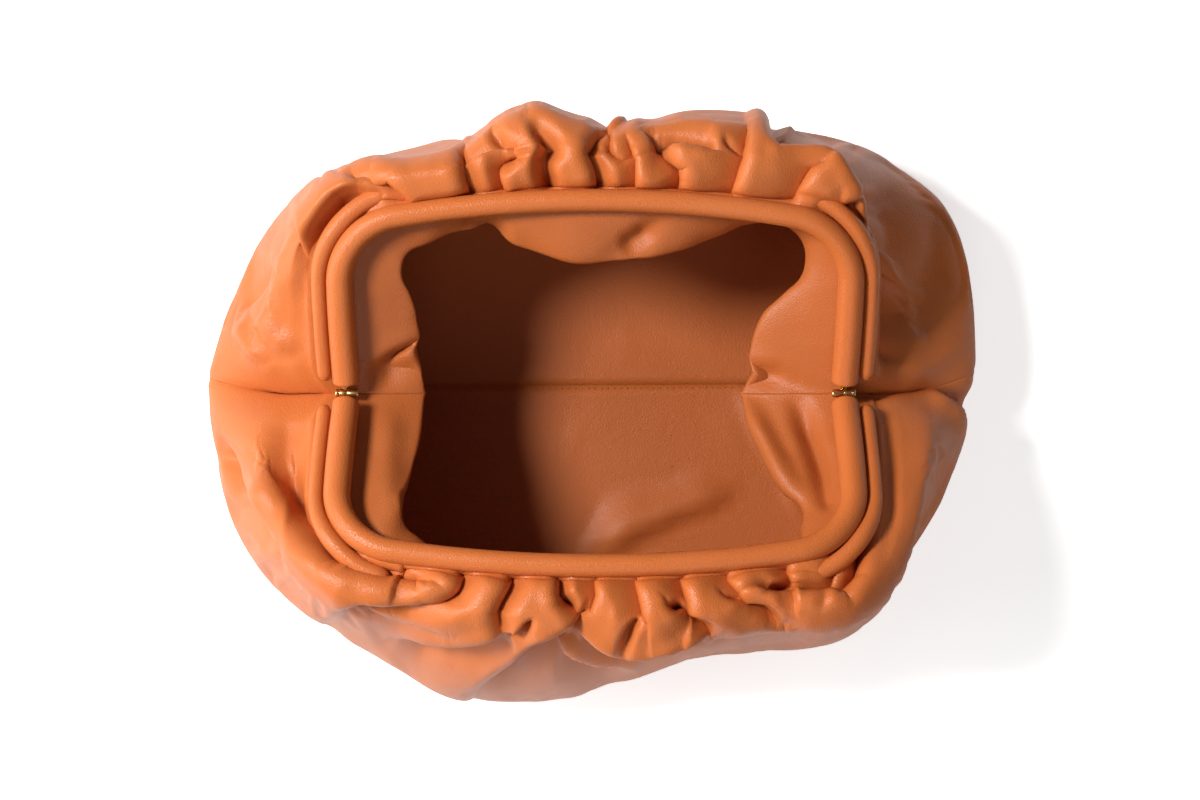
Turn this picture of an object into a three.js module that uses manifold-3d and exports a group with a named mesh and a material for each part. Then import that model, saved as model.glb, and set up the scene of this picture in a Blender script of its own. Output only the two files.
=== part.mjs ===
// A gathered leather pouch bag that stands open on its base, seen as it is left on a table.
// Two leather panels are gathered onto a two-part frame of leather-covered bars, which turns on a
// brass hinge at each end. A lining of two panels hangs inside, and a rolled welt closes the leather
// beside each leg of the frame. Units are millimetres: X runs along the hinge line, Y towards the
// back bar and Z up, from the base under the middle of the hinge line.
import * as THREE from "three";
import { mergeVertices } from "three/addons/utils/BufferGeometryUtils.js";
import Module from "manifold-3d";

// Leather body
const BODY_LENGTH = 390;
const BODY_DEPTH = 300;
const BASE_SEAM_LENGTH = 300;
const LEATHER_THICKNESS = 1.4;
const GATHER_REACH = 40;
const GATHER_RISE = 10;
const PLEAT_DEPTH = 8;

// Lining
const LINING_THICKNESS = 1;
const LINING_HANG = 40;
const LINING_INSET = 10;

// Frame
const FRAME_WIDTH = 244;
const HINGE_SPAN = 241;
const HINGE_HEIGHT = 92;
const FRAME_REACH = 98;
const CORNER_RADIUS = 34;
const BAR_BOW_RADIUS = 560;
const LEG_RADIUS = 6.6;
const BAR_RADIUS = 5.4;
const BACK_TILT = 22;
const FRONT_TILT = 35.5;
const END_ROUNDING = 1.2;

// Welts
const WELT_RADIUS = 2.6;
const WELT_FLARE = 1.5;

// Hinges
const BARREL_RADIUS = 2.1;
const BARREL_LENGTH = 11.4;
const PIN_RADIUS = 0.9;
const PIN_HEAD_RADIUS = 1.6;
const PIN_HEAD_LENGTH = 1.1;
const LEAF_THICKNESS = 1.6;
const LEAF_SINK = 7;
const TUBE_START = 5;

// Gap that is left between pieces that touch, and beside each seam
const CLEARANCE = 0.3;

// Mesh fineness
const PLEAT_COLUMNS = 4;
const SIDE_COLUMNS = 6;
const LINING_COLUMNS = 26;
const FRAME_SIDES = 10;
const WELT_SIDES = 8;
const ROUND_SIDES = 16;

const LEATHER = { color: 0xc8683a, roughness: 0.42, metalness: 0 };
const BRASS = { color: 0xc9a24a, roughness: 0.25, metalness: 1 };

// The side seams, shared by the back and front panels.
// long and deep place the widest point, as shares of half the body's length and depth; high is that
// point's height as a share of the hinge's; reach is how far the gathers stand out from the frame,
// as a share of GATHER_REACH; lip, crown and brow are heights over the frame, as shares of
// GATHER_RISE; foot is where the leather meets the floor, between the base seam (0) and the widest
// point (1).
const LEFT_SEAM = { at: 0, long: -1, deep: 0.05, high: 0.5, reach: 0.7, lip: -0.2, crown: -0.5, brow: -1.3, foot: 0.6 };
const RIGHT_SEAM = { at: 1, long: 0.98, deep: 0.07, high: 0.5, reach: 0.7, lip: -0.2, crown: -0.5, brow: -1.3, foot: 0.6 };

// A row for each section of a panel; at runs along the frame from the left hinge to the right.
const BACK_SECTIONS = [
  LEFT_SEAM,
  { at: 0.08, long: -0.945, deep: 0.28, high: 0.5, reach: 0.66, lip: -0.3, crown: -0.7, brow: -1.6, foot: 0.8 },
  { at: 0.15, long: -0.875, deep: 0.45, high: 0.55, reach: 0.5, lip: 0, crown: 0, brow: -1.2, foot: 0.82 },
  { at: 0.21, long: -0.78, deep: 0.61, high: 0.6, reach: 0.45, lip: 0.5, crown: 0.7, brow: -0.8, foot: 0.82 },
  { at: 0.27, long: -0.61, deep: 0.73, high: 0.6, reach: 0.52, lip: 0.7, crown: 1, brow: -0.5, foot: 0.82 },
  { at: 0.34, long: -0.45, deep: 0.78, high: 0.6, reach: 0.58, lip: 0.8, crown: 1.1, brow: -0.4, foot: 0.82 },
  { at: 0.43, long: -0.2, deep: 0.84, high: 0.58, reach: 1, lip: 0.8, crown: 1.2, brow: -0.6, foot: 0.82 },
  { at: 0.5, long: 0.02, deep: 0.86, high: 0.56, reach: 0.78, lip: 0.8, crown: 1, brow: -0.6, foot: 0.82 },
  { at: 0.6, long: 0.28, deep: 0.89, high: 0.56, reach: 0.88, lip: 0.8, crown: 1.1, brow: -0.6, foot: 0.82 },
  { at: 0.68, long: 0.49, deep: 0.9, high: 0.55, reach: 0.92, lip: 0.8, crown: 1.1, brow: -0.7, foot: 0.82 },
  { at: 0.75, long: 0.66, deep: 0.86, high: 0.52, reach: 0.78, lip: 0.7, crown: 0.9, brow: -0.9, foot: 0.82 },
  { at: 0.8, long: 0.77, deep: 0.76, high: 0.5, reach: 0.45, lip: 0.3, crown: 0.1, brow: -1.6, foot: 0.82 },
  { at: 0.87, long: 0.905, deep: 0.61, high: 0.5, reach: 0.55, lip: -0.5, crown: -1.7, brow: -3.4, foot: 0.82 },
  { at: 0.94, long: 0.97, deep: 0.33, high: 0.5, reach: 0.65, lip: -0.4, crown: -1.2, brow: -2.4, foot: 0.8 },
  RIGHT_SEAM,
];
const FRONT_SECTIONS = [
  LEFT_SEAM,
  { at: 0.08, long: -0.98, deep: -0.17, high: 0.5, reach: 0.66, lip: -0.7, crown: -1.5, brow: -1, foot: 0.8 },
  { at: 0.15, long: -0.93, deep: -0.42, high: 0.5, reach: 0.56, lip: -0.6, crown: -1.8, brow: -1.4, foot: 0.82 },
  { at: 0.21, long: -0.8, deep: -0.64, high: 0.5, reach: 0.58, lip: 0.3, crown: 0, brow: -1.4, foot: 0.82 },
  { at: 0.27, long: -0.65, deep: -0.79, high: 0.5, reach: 0.65, lip: 0.6, crown: 0.6, brow: -1.2, foot: 0.82 },
  { at: 0.34, long: -0.47, deep: -0.95, high: 0.46, reach: 0.78, lip: 0.8, crown: 0.9, brow: -0.9, foot: 0.82 },
  { at: 0.42, long: -0.3, deep: -1.03, high: 0.42, reach: 0.85, lip: 0.8, crown: 1, brow: -0.8, foot: 0.82 },
  { at: 0.5, long: -0.09, deep: -1.01, high: 0.42, reach: 0.8, lip: 0.8, crown: 1, brow: -0.8, foot: 0.82 },
  { at: 0.59, long: 0.12, deep: -0.93, high: 0.46, reach: 0.9, lip: 0.8, crown: 1.1, brow: -0.8, foot: 0.82 },
  { at: 0.68, long: 0.32, deep: -0.84, high: 0.55, reach: 0.75, lip: 0.8, crown: 1, brow: -0.7, foot: 0.82 },
  { at: 0.76, long: 0.52, deep: -0.79, high: 0.6, reach: 0.76, lip: 0.6, crown: 0.9, brow: -0.8, foot: 0.82 },
  { at: 0.83, long: 0.69, deep: -0.66, high: 0.6, reach: 0.5, lip: -0.2, crown: 0, brow: -1, foot: 0.82 },
  { at: 0.92, long: 0.89, deep: -0.34, high: 0.55, reach: 0.66, lip: -0.4, crown: -0.4, brow: -1, foot: 0.8 },
  RIGHT_SEAM,
];

// A row for each pleat: at runs along the frame, depth is a share of PLEAT_DEPTH, and down is how far
// the crease runs towards the base seam, as a share of the panel's rows.
const BACK_PLEATS = [
  { at: 0.232, depth: 0.8, down: 0.55 },
  { at: 0.28, depth: 1, down: 0.6 },
  { at: 0.346, depth: 1.1, down: 0.62 },
  { at: 0.396, depth: 0.8, down: 0.5 },
  { at: 0.447, depth: 1.1, down: 0.6 },
  { at: 0.495, depth: 1.2, down: 0.66 },
  { at: 0.551, depth: 0.9, down: 0.55 },
  { at: 0.604, depth: 1.1, down: 0.6 },
  { at: 0.663, depth: 0.9, down: 0.55 },
  { at: 0.724, depth: 0.8, down: 0.6 },
  { at: 0.774, depth: 1, down: 0.62 },
];
const FRONT_PLEATS = [
  { at: 0.211, depth: 0.8, down: 0.5 },
  { at: 0.271, depth: 0.9, down: 0.55 },
  { at: 0.339, depth: 1.1, down: 0.62 },
  { at: 0.398, depth: 0.9, down: 0.55 },
  { at: 0.454, depth: 1.2, down: 0.64 },
  { at: 0.502, depth: 0.8, down: 0.5 },
  { at: 0.549, depth: 0.9, down: 0.55 },
  { at: 0.603, depth: 1.2, down: 0.62 },
  { at: 0.654, depth: 1, down: 0.55 },
  { at: 0.721, depth: 1.1, down: 0.6 },
  { at: 0.77, depth: 0.8, down: 0.5 },
];

// A row for each large dent or ridge of the leather: at and row place its middle, wide and tall are
// its spread in the same shares, and depth is a share of PLEAT_DEPTH, with ridges below zero.
const BACK_DENTS = [
  { at: 0.1, row: 0.6, wide: 0.035, tall: 0.07, depth: 0.9 },
  { at: 0.19, row: 0.66, wide: 0.03, tall: 0.1, depth: -0.3 },
  { at: 0.4, row: 0.68, wide: 0.03, tall: 0.1, depth: 1.1 },
  { at: 0.58, row: 0.68, wide: 0.03, tall: 0.1, depth: 1 },
  { at: 0.84, row: 0.58, wide: 0.03, tall: 0.07, depth: 0.6 },
  { at: 0.95, row: 0.56, wide: 0.03, tall: 0.07, depth: -0.8 },
];
const FRONT_DENTS = [
  { at: 0.06, row: 0.62, wide: 0.03, tall: 0.07, depth: -0.8 },
  { at: 0.18, row: 0.6, wide: 0.025, tall: 0.09, depth: 0.9 },
  { at: 0.36, row: 0.66, wide: 0.03, tall: 0.09, depth: 1 },
  { at: 0.52, row: 0.62, wide: 0.03, tall: 0.08, depth: 1.1 },
  { at: 0.66, row: 0.68, wide: 0.03, tall: 0.1, depth: 1 },
  { at: 0.87, row: 0.6, wide: 0.04, tall: 0.1, depth: -0.7 },
];

// A row for each section of the lining: inset is how far it swells into the mouth, as a share of
// LINING_HANG, and sag how far below the frame that swelling hangs, as a share of the hinge height.
const BACK_LINING = [
  { at: 0, inset: 0.85, sag: 0.3 },
  { at: 0.12, inset: 0.75, sag: 0.32 },
  { at: 0.22, inset: 0.3, sag: 0.4 },
  { at: 0.32, inset: 0.3, sag: 0.3 },
  { at: 0.48, inset: 0.75, sag: 0.3 },
  { at: 0.6, inset: 0.6, sag: 0.32 },
  { at: 0.72, inset: 0.1, sag: 0.4 },
  { at: 0.82, inset: 0.45, sag: 0.35 },
  { at: 0.9, inset: 0.9, sag: 0.34 },
  { at: 1, inset: 1.15, sag: 0.3 },
];
const FRONT_LINING = [
  { at: 0, inset: 0.85, sag: 0.3 },
  { at: 0.12, inset: 0.65, sag: 0.32 },
  { at: 0.22, inset: 0.35, sag: 0.4 },
  { at: 0.34, inset: 0, sag: 0.35 },
  { at: 0.6, inset: 0, sag: 0.35 },
  { at: 0.74, inset: 0.1, sag: 0.38 },
  { at: 0.84, inset: 0.5, sag: 0.36 },
  { at: 0.92, inset: 0.85, sag: 0.34 },
  { at: 1, inset: 1.15, sag: 0.3 },
];

const BACK = {
  name: "back", way: 1, tilt: THREE.MathUtils.degToRad(BACK_TILT),
  sections: BACK_SECTIONS, pleats: BACK_PLEATS, dents: BACK_DENTS, lining: BACK_LINING,
};
const FRONT = {
  name: "front", way: -1, tilt: THREE.MathUtils.degToRad(FRONT_TILT),
  sections: FRONT_SECTIONS, pleats: FRONT_PLEATS, dents: FRONT_DENTS, lining: FRONT_LINING,
};

const wasm = await Module();
wasm.setup();

// The frame's centreline, in the plane of one half: a flared leg, a corner arc and a bowed bar,
// mirrored about the middle. across is measured along X and out from the hinge axis.
const CORNER_ACROSS = FRAME_WIDTH / 2 - CORNER_RADIUS;
const BAR_CENTRE_OUT = FRAME_REACH - BAR_BOW_RADIUS;
const CORNER_OUT = BAR_CENTRE_OUT + Math.sqrt((BAR_BOW_RADIUS - CORNER_RADIUS) ** 2 - CORNER_ACROSS ** 2);
const CORNER_SWEEP = Math.atan2(CORNER_OUT - BAR_CENTRE_OUT, CORNER_ACROSS);
const LEG_LENGTH = CORNER_OUT;
const CORNER_LENGTH = CORNER_RADIUS * CORNER_SWEEP;
const HALF_BAR_LENGTH = BAR_BOW_RADIUS * (Math.PI / 2 - CORNER_SWEEP);
const FRAME_LENGTH = 2 * (LEG_LENGTH + CORNER_LENGTH + HALF_BAR_LENGTH);
const BAR_START = LEG_LENGTH + CORNER_LENGTH;

function framePoint(distance) {
  const onLeft = distance < FRAME_LENGTH / 2;
  const along = onLeft ? distance : FRAME_LENGTH - distance;
  const mirror = onLeft ? -1 : 1;
  let across, out, normal;
  if (along < LEG_LENGTH) {
    const flare = (FRAME_WIDTH - HINGE_SPAN) / 2;
    const turn = (Math.PI / 2) * (along / LEG_LENGTH);
    across = HINGE_SPAN / 2 + flare * Math.sin(turn);
    out = along;
    const slope = ((flare * Math.PI) / 2 / LEG_LENGTH) * Math.cos(turn);
    normal = new THREE.Vector2(1, -slope).normalize();
  } else if (along < BAR_START) {
    const turn = (along - LEG_LENGTH) / CORNER_RADIUS;
    normal = new THREE.Vector2(Math.cos(turn), Math.sin(turn));
    across = CORNER_ACROSS + CORNER_RADIUS * normal.x;
    out = CORNER_OUT + CORNER_RADIUS * normal.y;
  } else {
    const turn = CORNER_SWEEP + (along - BAR_START) / BAR_BOW_RADIUS;
    normal = new THREE.Vector2(Math.cos(turn), Math.sin(turn));
    across = BAR_BOW_RADIUS * normal.x;
    out = BAR_CENTRE_OUT + BAR_BOW_RADIUS * normal.y;
  }
  return { across: mirror * across, out, normal: new THREE.Vector2(mirror * normal.x, normal.y), along };
}

function tubeRadius(along) {
  const blend = THREE.MathUtils.smoothstep(along, LEG_LENGTH * 0.7, BAR_START + CORNER_LENGTH / 2);
  return THREE.MathUtils.lerp(LEG_RADIUS, BAR_RADIUS, blend);
}

// A point of one half of the frame, turned about the hinge line. under is measured down from the
// plane in which the two halves meet when the bag is shut.
function place(side, across, out, under) {
  return new THREE.Vector3(
    across,
    side.way * (out * Math.cos(side.tilt) + under * Math.sin(side.tilt)),
    HINGE_HEIGHT + out * Math.sin(side.tilt) - under * Math.cos(side.tilt),
  );
}

// The point beside the frame tube: outwards in the half's plane and lower than the tube's centre.
function besideTube(side, distance, outwards, lower) {
  const on = framePoint(distance);
  const under = tubeRadius(on.along) + CLEARANCE + lower;
  return place(side, on.across + on.normal.x * outwards, on.out + on.normal.y * outwards, under);
}

// A value from a table's column at a place between its rows, eased through the rows.
function columnAt(rows, column, at) {
  let i = 0;
  while (i < rows.length - 2 && at > rows[i + 1].at) i += 1;
  const slope = (k) => {
    const before = rows[Math.max(k - 1, 0)];
    const after = rows[Math.min(k + 1, rows.length - 1)];
    return (after[column] - before[column]) / (after.at - before.at);
  };
  const width = rows[i + 1].at - rows[i].at;
  const s = (at - rows[i].at) / width;
  const rest = 1 - s;
  return (
    rows[i][column] * rest * rest * (1 + 2 * s) +
    rows[i + 1][column] * s * s * (1 + 2 * rest) +
    (slope(i) * rest - slope(i + 1) * s) * width * s * rest
  );
}

// The share of the base seam's length, and how far towards the back it lies there.
function seamPoint(at, height) {
  const across = (at - 0.5) * BASE_SEAM_LENGTH;
  const back = THREE.MathUtils.lerp(LEFT_SEAM.deep, RIGHT_SEAM.deep, at) * 0.5 * (BODY_DEPTH / 2);
  return new THREE.Vector3(across, back, height);
}

// How far outside the tube's centreline the panel's edge lies: past the welt beside a leg, and
// against the tube along the bar.
const WELT_END = LEG_LENGTH + CORNER_LENGTH * 0.5;
function edgeOffset(along) {
  const beside = tubeRadius(along) + CLEARANCE + LEATHER_THICKNESS / 2;
  const past = beside + 2 * WELT_RADIUS + CLEARANCE;
  const blend = THREE.MathUtils.smoothstep(along, WELT_END + 2 * WELT_RADIUS, BAR_START + 4 * WELT_RADIUS);
  return THREE.MathUtils.lerp(past + WELT_FLARE + CLEARANCE, beside, blend);
}

// The panel's edge beside the frame. The two panels meet under the hinge.
const HINGE_EDGE_OUT = HINGE_SPAN / 2 + LEG_RADIUS;
const HINGE_EDGE_HEIGHT = HINGE_HEIGHT - 2 * LEG_RADIUS;
function panelEdge(side, at) {
  const on = framePoint(at * FRAME_LENGTH);
  const edge = besideTube(side, at * FRAME_LENGTH, edgeOffset(on.along), 0);
  const hinge = new THREE.Vector3(Math.sign(edge.x) * HINGE_EDGE_OUT, 0, HINGE_EDGE_HEIGHT);
  return hinge.lerp(edge, THREE.MathUtils.smoothstep(on.along, 0, 2 * LEG_RADIUS));
}

// The level way out from the frame at a place along it.
function wayOut(side, at) {
  const on = framePoint(at * FRAME_LENGTH);
  return new THREE.Vector3(on.normal.x, side.way * Math.max(on.normal.y, 0), 0).normalize();
}

function widestPoint(side, at) {
  const value = (column) => columnAt(side.sections, column, at);
  return new THREE.Vector3(
    (value("long") * BODY_LENGTH) / 2,
    (value("deep") * BODY_DEPTH) / 2,
    value("high") * HINGE_HEIGHT,
  );
}

// One section of a leather panel, from the frame over the gathers, down the body and along the base.
const LIP_OUT = 0.14;
const CROWN_OUT = 0.48;
function panelSection(side, at) {
  const value = (column) => columnAt(side.sections, column, at);
  const edge = panelEdge(side, at);
  const out = wayOut(side, at);
  const reach = value("reach") * GATHER_REACH;
  const over = (share, rise) =>
    edge.clone().addScaledVector(out, reach * share).setZ(edge.z + rise * GATHER_RISE);
  const widest = widestPoint(side, at);
  const seam = seamPoint(at, LEATHER_THICKNESS / 2);
  const foot = seam.clone().lerp(widest, value("foot")).setZ(LEATHER_THICKNESS / 2);
  return new THREE.CatmullRomCurve3(
    [edge, over(LIP_OUT, value("lip")), over(CROWN_OUT, value("crown")), over(1, value("brow")), widest, foot, seam],
    false,
    "centripetal",
  );
}

// The rows of a panel, counted in the sections' seven control points.
const PANEL_ROWS = [0, 0.6, 1, 1.5, 2, 2.5, 3, 3.3, 3.65, 4, 4.4, 4.8, 5, 6];
const PANEL_SPANS = 6;

// How deep the pleats cut at a place: full at a crease and nothing at the middle of a fold.
function pleatDepth(side, at, row) {
  const pleats = side.pleats;
  const last = pleats.length - 1;
  if (at <= pleats[0].at) return creaseDepth(pleats[0], (pleats[0].at - at) / (pleats[1].at - pleats[0].at), row);
  if (at >= pleats[last].at) {
    return creaseDepth(pleats[last], (at - pleats[last].at) / (pleats[last].at - pleats[last - 1].at), row);
  }
  let i = 0;
  while (at > pleats[i + 1].at) i += 1;
  const across = (at - pleats[i].at) / (pleats[i + 1].at - pleats[i].at);
  return creaseDepth(pleats[i], across, row) + creaseDepth(pleats[i + 1], 1 - across, row);
}

const CREASE_POWER = 1.7;
const EDGE_SHARE = 0.35;
const FULL_ROW = 0.25;
function creaseDepth(pleat, away, row) {
  const near = Math.max(0, 1 - 2 * away) ** CREASE_POWER;
  const start = THREE.MathUtils.lerp(EDGE_SHARE, 1, THREE.MathUtils.smoothstep(row, 0, FULL_ROW));
  const end = 1 - THREE.MathUtils.smoothstep(row, FULL_ROW, pleat.down);
  return pleat.depth * PLEAT_DEPTH * near * start * end;
}

function dentDepth(side, at, row) {
  return side.dents.reduce((sum, dent) => {
    const away = ((at - dent.at) / dent.wide) ** 2 + ((row - dent.row) / dent.tall) ** 2;
    return sum + dent.depth * PLEAT_DEPTH * Math.exp(-away);
  }, 0);
}

// Places along the frame that the panel's columns follow: even beside the legs, and at each crease
// and between creases along the bar.
function panelColumns(side) {
  const creases = side.pleats.map((pleat) => pleat.at);
  const stops = [0, ...creases, 1];
  const columns = [0];
  for (let i = 1; i < stops.length; i += 1) {
    const count = i === 1 || i === stops.length - 1 ? SIDE_COLUMNS : PLEAT_COLUMNS;
    for (let k = 1; k <= count; k += 1) {
      columns.push(THREE.MathUtils.lerp(stops[i - 1], stops[i], k / count));
    }
  }
  return columns;
}

// Directions square to a grid of points, from its neighbours in both ways.
function gridNormals(grid) {
  const lastColumn = grid.length - 1;
  const lastRow = grid[0].length - 1;
  return grid.map((column, i) =>
    column.map((_, j) => {
      const along = grid[Math.min(i + 1, lastColumn)][j].clone().sub(grid[Math.max(i - 1, 0)][j]);
      const down = grid[i][Math.min(j + 1, lastRow)].clone().sub(grid[i][Math.max(j - 1, 0)]);
      return along.cross(down).normalize();
    }),
  );
}

// A closed sheet of one thickness about a grid of points. The seam edges are square to the seam.
function sheet(grid, normals, thickness) {
  const columns = grid.length - 1;
  const rows = grid[0].length - 1;
  const geometry = new THREE.BoxGeometry(1, 1, 1, columns, rows, 1);
  const position = geometry.getAttribute("position");
  for (let k = 0; k < position.count; k += 1) {
    const i = Math.round((position.getX(k) + 0.5) * columns);
    const j = Math.round((position.getY(k) + 0.5) * rows);
    const point = grid[i][j].clone().addScaledVector(normals[i][j], position.getZ(k) * thickness);
    position.setXYZ(k, point.x, point.y, point.z);
  }
  matchDiagonals(geometry, grid);
  return closed(geometry);
}

// Splits each cell along its shorter diagonal, in the same way on both faces of the sheet.
const CELL_CORNERS = 6;
function matchDiagonals(geometry, grid) {
  const columns = grid.length - 1;
  const rows = grid[0].length - 1;
  const cells = columns * rows;
  const index = geometry.index.array;
  const turn = (cell) => {
    const from = cell * CELL_CORNERS;
    const [a, b, d, , c] = index.slice(from, from + CELL_CORNERS);
    index.set([a, b, c, a, c, d], from);
  };
  const outerCells = (index.length / CELL_CORNERS) - 2 * cells;
  for (let j = 0; j < rows; j += 1) {
    for (let i = 0; i < columns; i += 1) {
      const rising = grid[i][rows - j - 1].distanceTo(grid[i + 1][rows - j]);
      const falling = grid[i][rows - j].distanceTo(grid[i + 1][rows - j - 1]);
      if (rising < falling) turn(outerCells + cells + j * columns + (columns - 1 - i));
      else turn(outerCells + j * columns + i);
    }
  }
}

// Merges shared corners and turns the faces out.
function closed(geometry) {
  geometry.deleteAttribute("normal");
  geometry.deleteAttribute("uv");
  const merged = mergeVertices(geometry, 1e-4);
  const index = merged.index.array;
  if (signedVolume(merged) < 0) {
    for (let k = 0; k < index.length; k += 3) [index[k + 1], index[k + 2]] = [index[k + 2], index[k + 1]];
  }
  merged.computeVertexNormals();
  return merged;
}

function signedVolume(geometry) {
  const position = geometry.getAttribute("position");
  const corner = [0, 1, 2].map(() => new THREE.Vector3());
  let sum = 0;
  for (let k = 0; k < geometry.index.count; k += 3) {
    corner.forEach((v, n) => v.fromBufferAttribute(position, geometry.index.getX(k + n)));
    sum += corner[0].dot(corner[1].clone().cross(corner[2]));
  }
  return sum / 6;
}

// Moves a panel's seam edges off the seam, and squares them to it. Where the seam runs aslant the
// gap across it is smaller, so each side moves by more than half a clearance.
const SEAM_OPENING = 0.75 * CLEARANCE;
function openSeams(side, grid, normals) {
  const lastColumn = grid.length - 1;
  const lastRow = grid[0].length - 1;
  grid.forEach((column, i) =>
    column.forEach((point, j) => {
      if (i > 0 && i < lastColumn && j < lastRow) return;
      point.y += side.way * SEAM_OPENING;
      if (j === lastRow) normals[i][j].set(0, 0, Math.sign(normals[i][j].z));
      else normals[i][j].setY(0).normalize();
    }),
  );
}

// Folds fade towards the side seams and stop above the floor.
const SEAM_FADE = 0.04;
const FLOOR_ROW = 4.6 / PANEL_SPANS;
function foldFade(at, row) {
  const sides = THREE.MathUtils.smoothstep(Math.min(at, 1 - at), 0, SEAM_FADE);
  return sides * (1 - THREE.MathUtils.smoothstep(row, FLOOR_ROW - 0.1, FLOOR_ROW));
}

function panelGrid(side) {
  const columns = panelColumns(side);
  const sections = columns.map((at) => panelSection(side, at));
  const plain = sections.map((curve) => PANEL_ROWS.map((row) => curve.getPoint(row / PANEL_SPANS)));
  const plainNormals = gridNormals(plain);
  const outwards = plainNormals[Math.floor(columns.length / 2)][6].y * side.way > 0 ? 1 : -1;
  const grid = plain.map((column, i) =>
    column.map((point, j) => {
      const row = PANEL_ROWS[j] / PANEL_SPANS;
      const depth = pleatDepth(side, columns[i], row) + dentDepth(side, columns[i], row);
      const moved = point.addScaledVector(plainNormals[i][j], -outwards * depth * foldFade(columns[i], row));
      return moved.setZ(Math.max(moved.z, LEATHER_THICKNESS / 2));
    }),
  );
  return grid;
}

function panel(side) {
  const grid = panelGrid(side);
  const normals = gridNormals(grid);
  openSeams(side, grid, normals);
  // The base lies flat.
  grid.forEach((column, i) =>
    column.forEach((point, j) => {
      if (point.z <= LEATHER_THICKNESS / 2) normals[i][j].set(0, 0, Math.sign(normals[i][j].z));
    }),
  );
  return mesh(`panel_${side.name}`, sheet(grid, normals, LEATHER_THICKNESS), LEATHER);
}

// One section of the lining: from under the frame, in over the swelling, out under it and along the
// base, inside the leather's own section.
const LINING_FLOOR = LEATHER_THICKNESS + CLEARANCE + LINING_THICKNESS / 2;
function liningSection(side, at) {
  const on = framePoint(at * FRAME_LENGTH);
  const radius = tubeRadius(on.along);
  const below = radius + CLEARANCE + LINING_THICKNESS / 2;
  const tube = besideTube(side, at * FRAME_LENGTH, -radius / 2, below);
  const hinge = new THREE.Vector3(tube.x, 0, HINGE_HEIGHT - LEG_RADIUS - below);
  const edge = hinge.lerp(tube, THREE.MathUtils.smoothstep(on.along, 0, 2 * LEG_RADIUS));
  const out = wayOut(side, at);
  const inset = columnAt(side.lining, "inset", at) * LINING_HANG;
  const sag = columnAt(side.lining, "sag", at) * HINGE_HEIGHT;
  const swelling = edge.clone().addScaledVector(out, -inset).setZ(edge.z - sag);
  const widest = widestPoint(side, at);
  const seam = seamPoint(at, LINING_FLOOR);
  seam.x *= 1 - (2 * LINING_INSET) / BASE_SEAM_LENGTH;
  const inwards = seam.clone().sub(widest).setZ(0).normalize();
  const wall = widest.clone().addScaledVector(inwards, LINING_INSET).setZ(widest.z * 0.9);
  const foot = seam.clone().lerp(wall, columnAt(side.sections, "foot", at)).setZ(LINING_FLOOR);
  return new THREE.CatmullRomCurve3([edge, swelling, wall, foot, seam], false, "centripetal");
}

const LINING_ROWS = [0, 0.35, 0.7, 1, 1.35, 1.7, 2, 2.5, 3, 4];
const LINING_SPANS = 4;
function lining(side) {
  const grid = [];
  for (let i = 0; i <= LINING_COLUMNS; i += 1) {
    const curve = liningSection(side, i / LINING_COLUMNS);
    grid.push(
      LINING_ROWS.map((row) => {
        const point = curve.getPoint(row / LINING_SPANS);
        return point.setZ(Math.max(point.z, LINING_FLOOR));
      }),
    );
  }
  const normals = gridNormals(grid);
  openSeams(side, grid, normals);
  return mesh(`lining_${side.name}`, sheet(grid, normals, LINING_THICKNESS), LEATHER);
}

// A rod of varying radius along stations, each with its centre and two directions across it.
function rod(stations, sides) {
  const geometry = new THREE.CylinderGeometry(1, 1, 1, sides, stations.length - 1);
  const position = geometry.getAttribute("position");
  for (let k = 0; k < position.count; k += 1) {
    const station = stations[Math.round((position.getY(k) + 0.5) * (stations.length - 1))];
    const point = station.centre
      .clone()
      .addScaledVector(station.outwards, position.getX(k) * station.radius)
      .addScaledVector(station.upwards, position.getZ(k) * station.radius);
    position.setXYZ(k, point.x, point.y, point.z);
  }
  return closed(geometry);
}

// A station of a rod beside or on the frame's centreline.
function station(side, distance, outwards, lower, radius) {
  const on = framePoint(distance);
  return {
    centre: besideTube(side, distance, outwards, lower),
    outwards: new THREE.Vector3(
      on.normal.x,
      side.way * on.normal.y * Math.cos(side.tilt),
      on.normal.y * Math.sin(side.tilt),
    ),
    upwards: new THREE.Vector3(0, -side.way * Math.sin(side.tilt), Math.cos(side.tilt)),
    radius,
  };
}

// Distances along the frame for a run of stations: few on the straight parts, more on the corners.
const CORNER_STEPS = 7;
const BAR_STEPS = 12;
const LEG_STEPS = 3;
function spread(from, to, count) {
  return Array.from({ length: count }, (_, k) => THREE.MathUtils.lerp(from, to, k / count));
}

function frameTube(side) {
  const leftHalf = [
    ...spread(TUBE_START + END_ROUNDING, LEG_LENGTH, LEG_STEPS),
    ...spread(LEG_LENGTH, BAR_START, CORNER_STEPS),
    ...spread(BAR_START, FRAME_LENGTH / 2, BAR_STEPS / 2),
  ];
  const distances = [...leftHalf, FRAME_LENGTH / 2, ...leftHalf.map((d) => FRAME_LENGTH - d).reverse()];
  const stations = distances.map((d) => station(side, d, 0, 0, tubeRadius(framePoint(d).along)));
  const ends = [TUBE_START, FRAME_LENGTH - TUBE_START].map((d) =>
    station(side, d, 0, 0, LEG_RADIUS - END_ROUNDING),
  );
  const geometry = rod([ends[0], ...stations, ends[1]], FRAME_SIDES);
  const sockets = [-1, 1].map((end) => leafBlock(side, end, CLEARANCE));
  return mesh(`frame_${side.name}`, cut(geometry, sockets), LEATHER);
}

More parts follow.
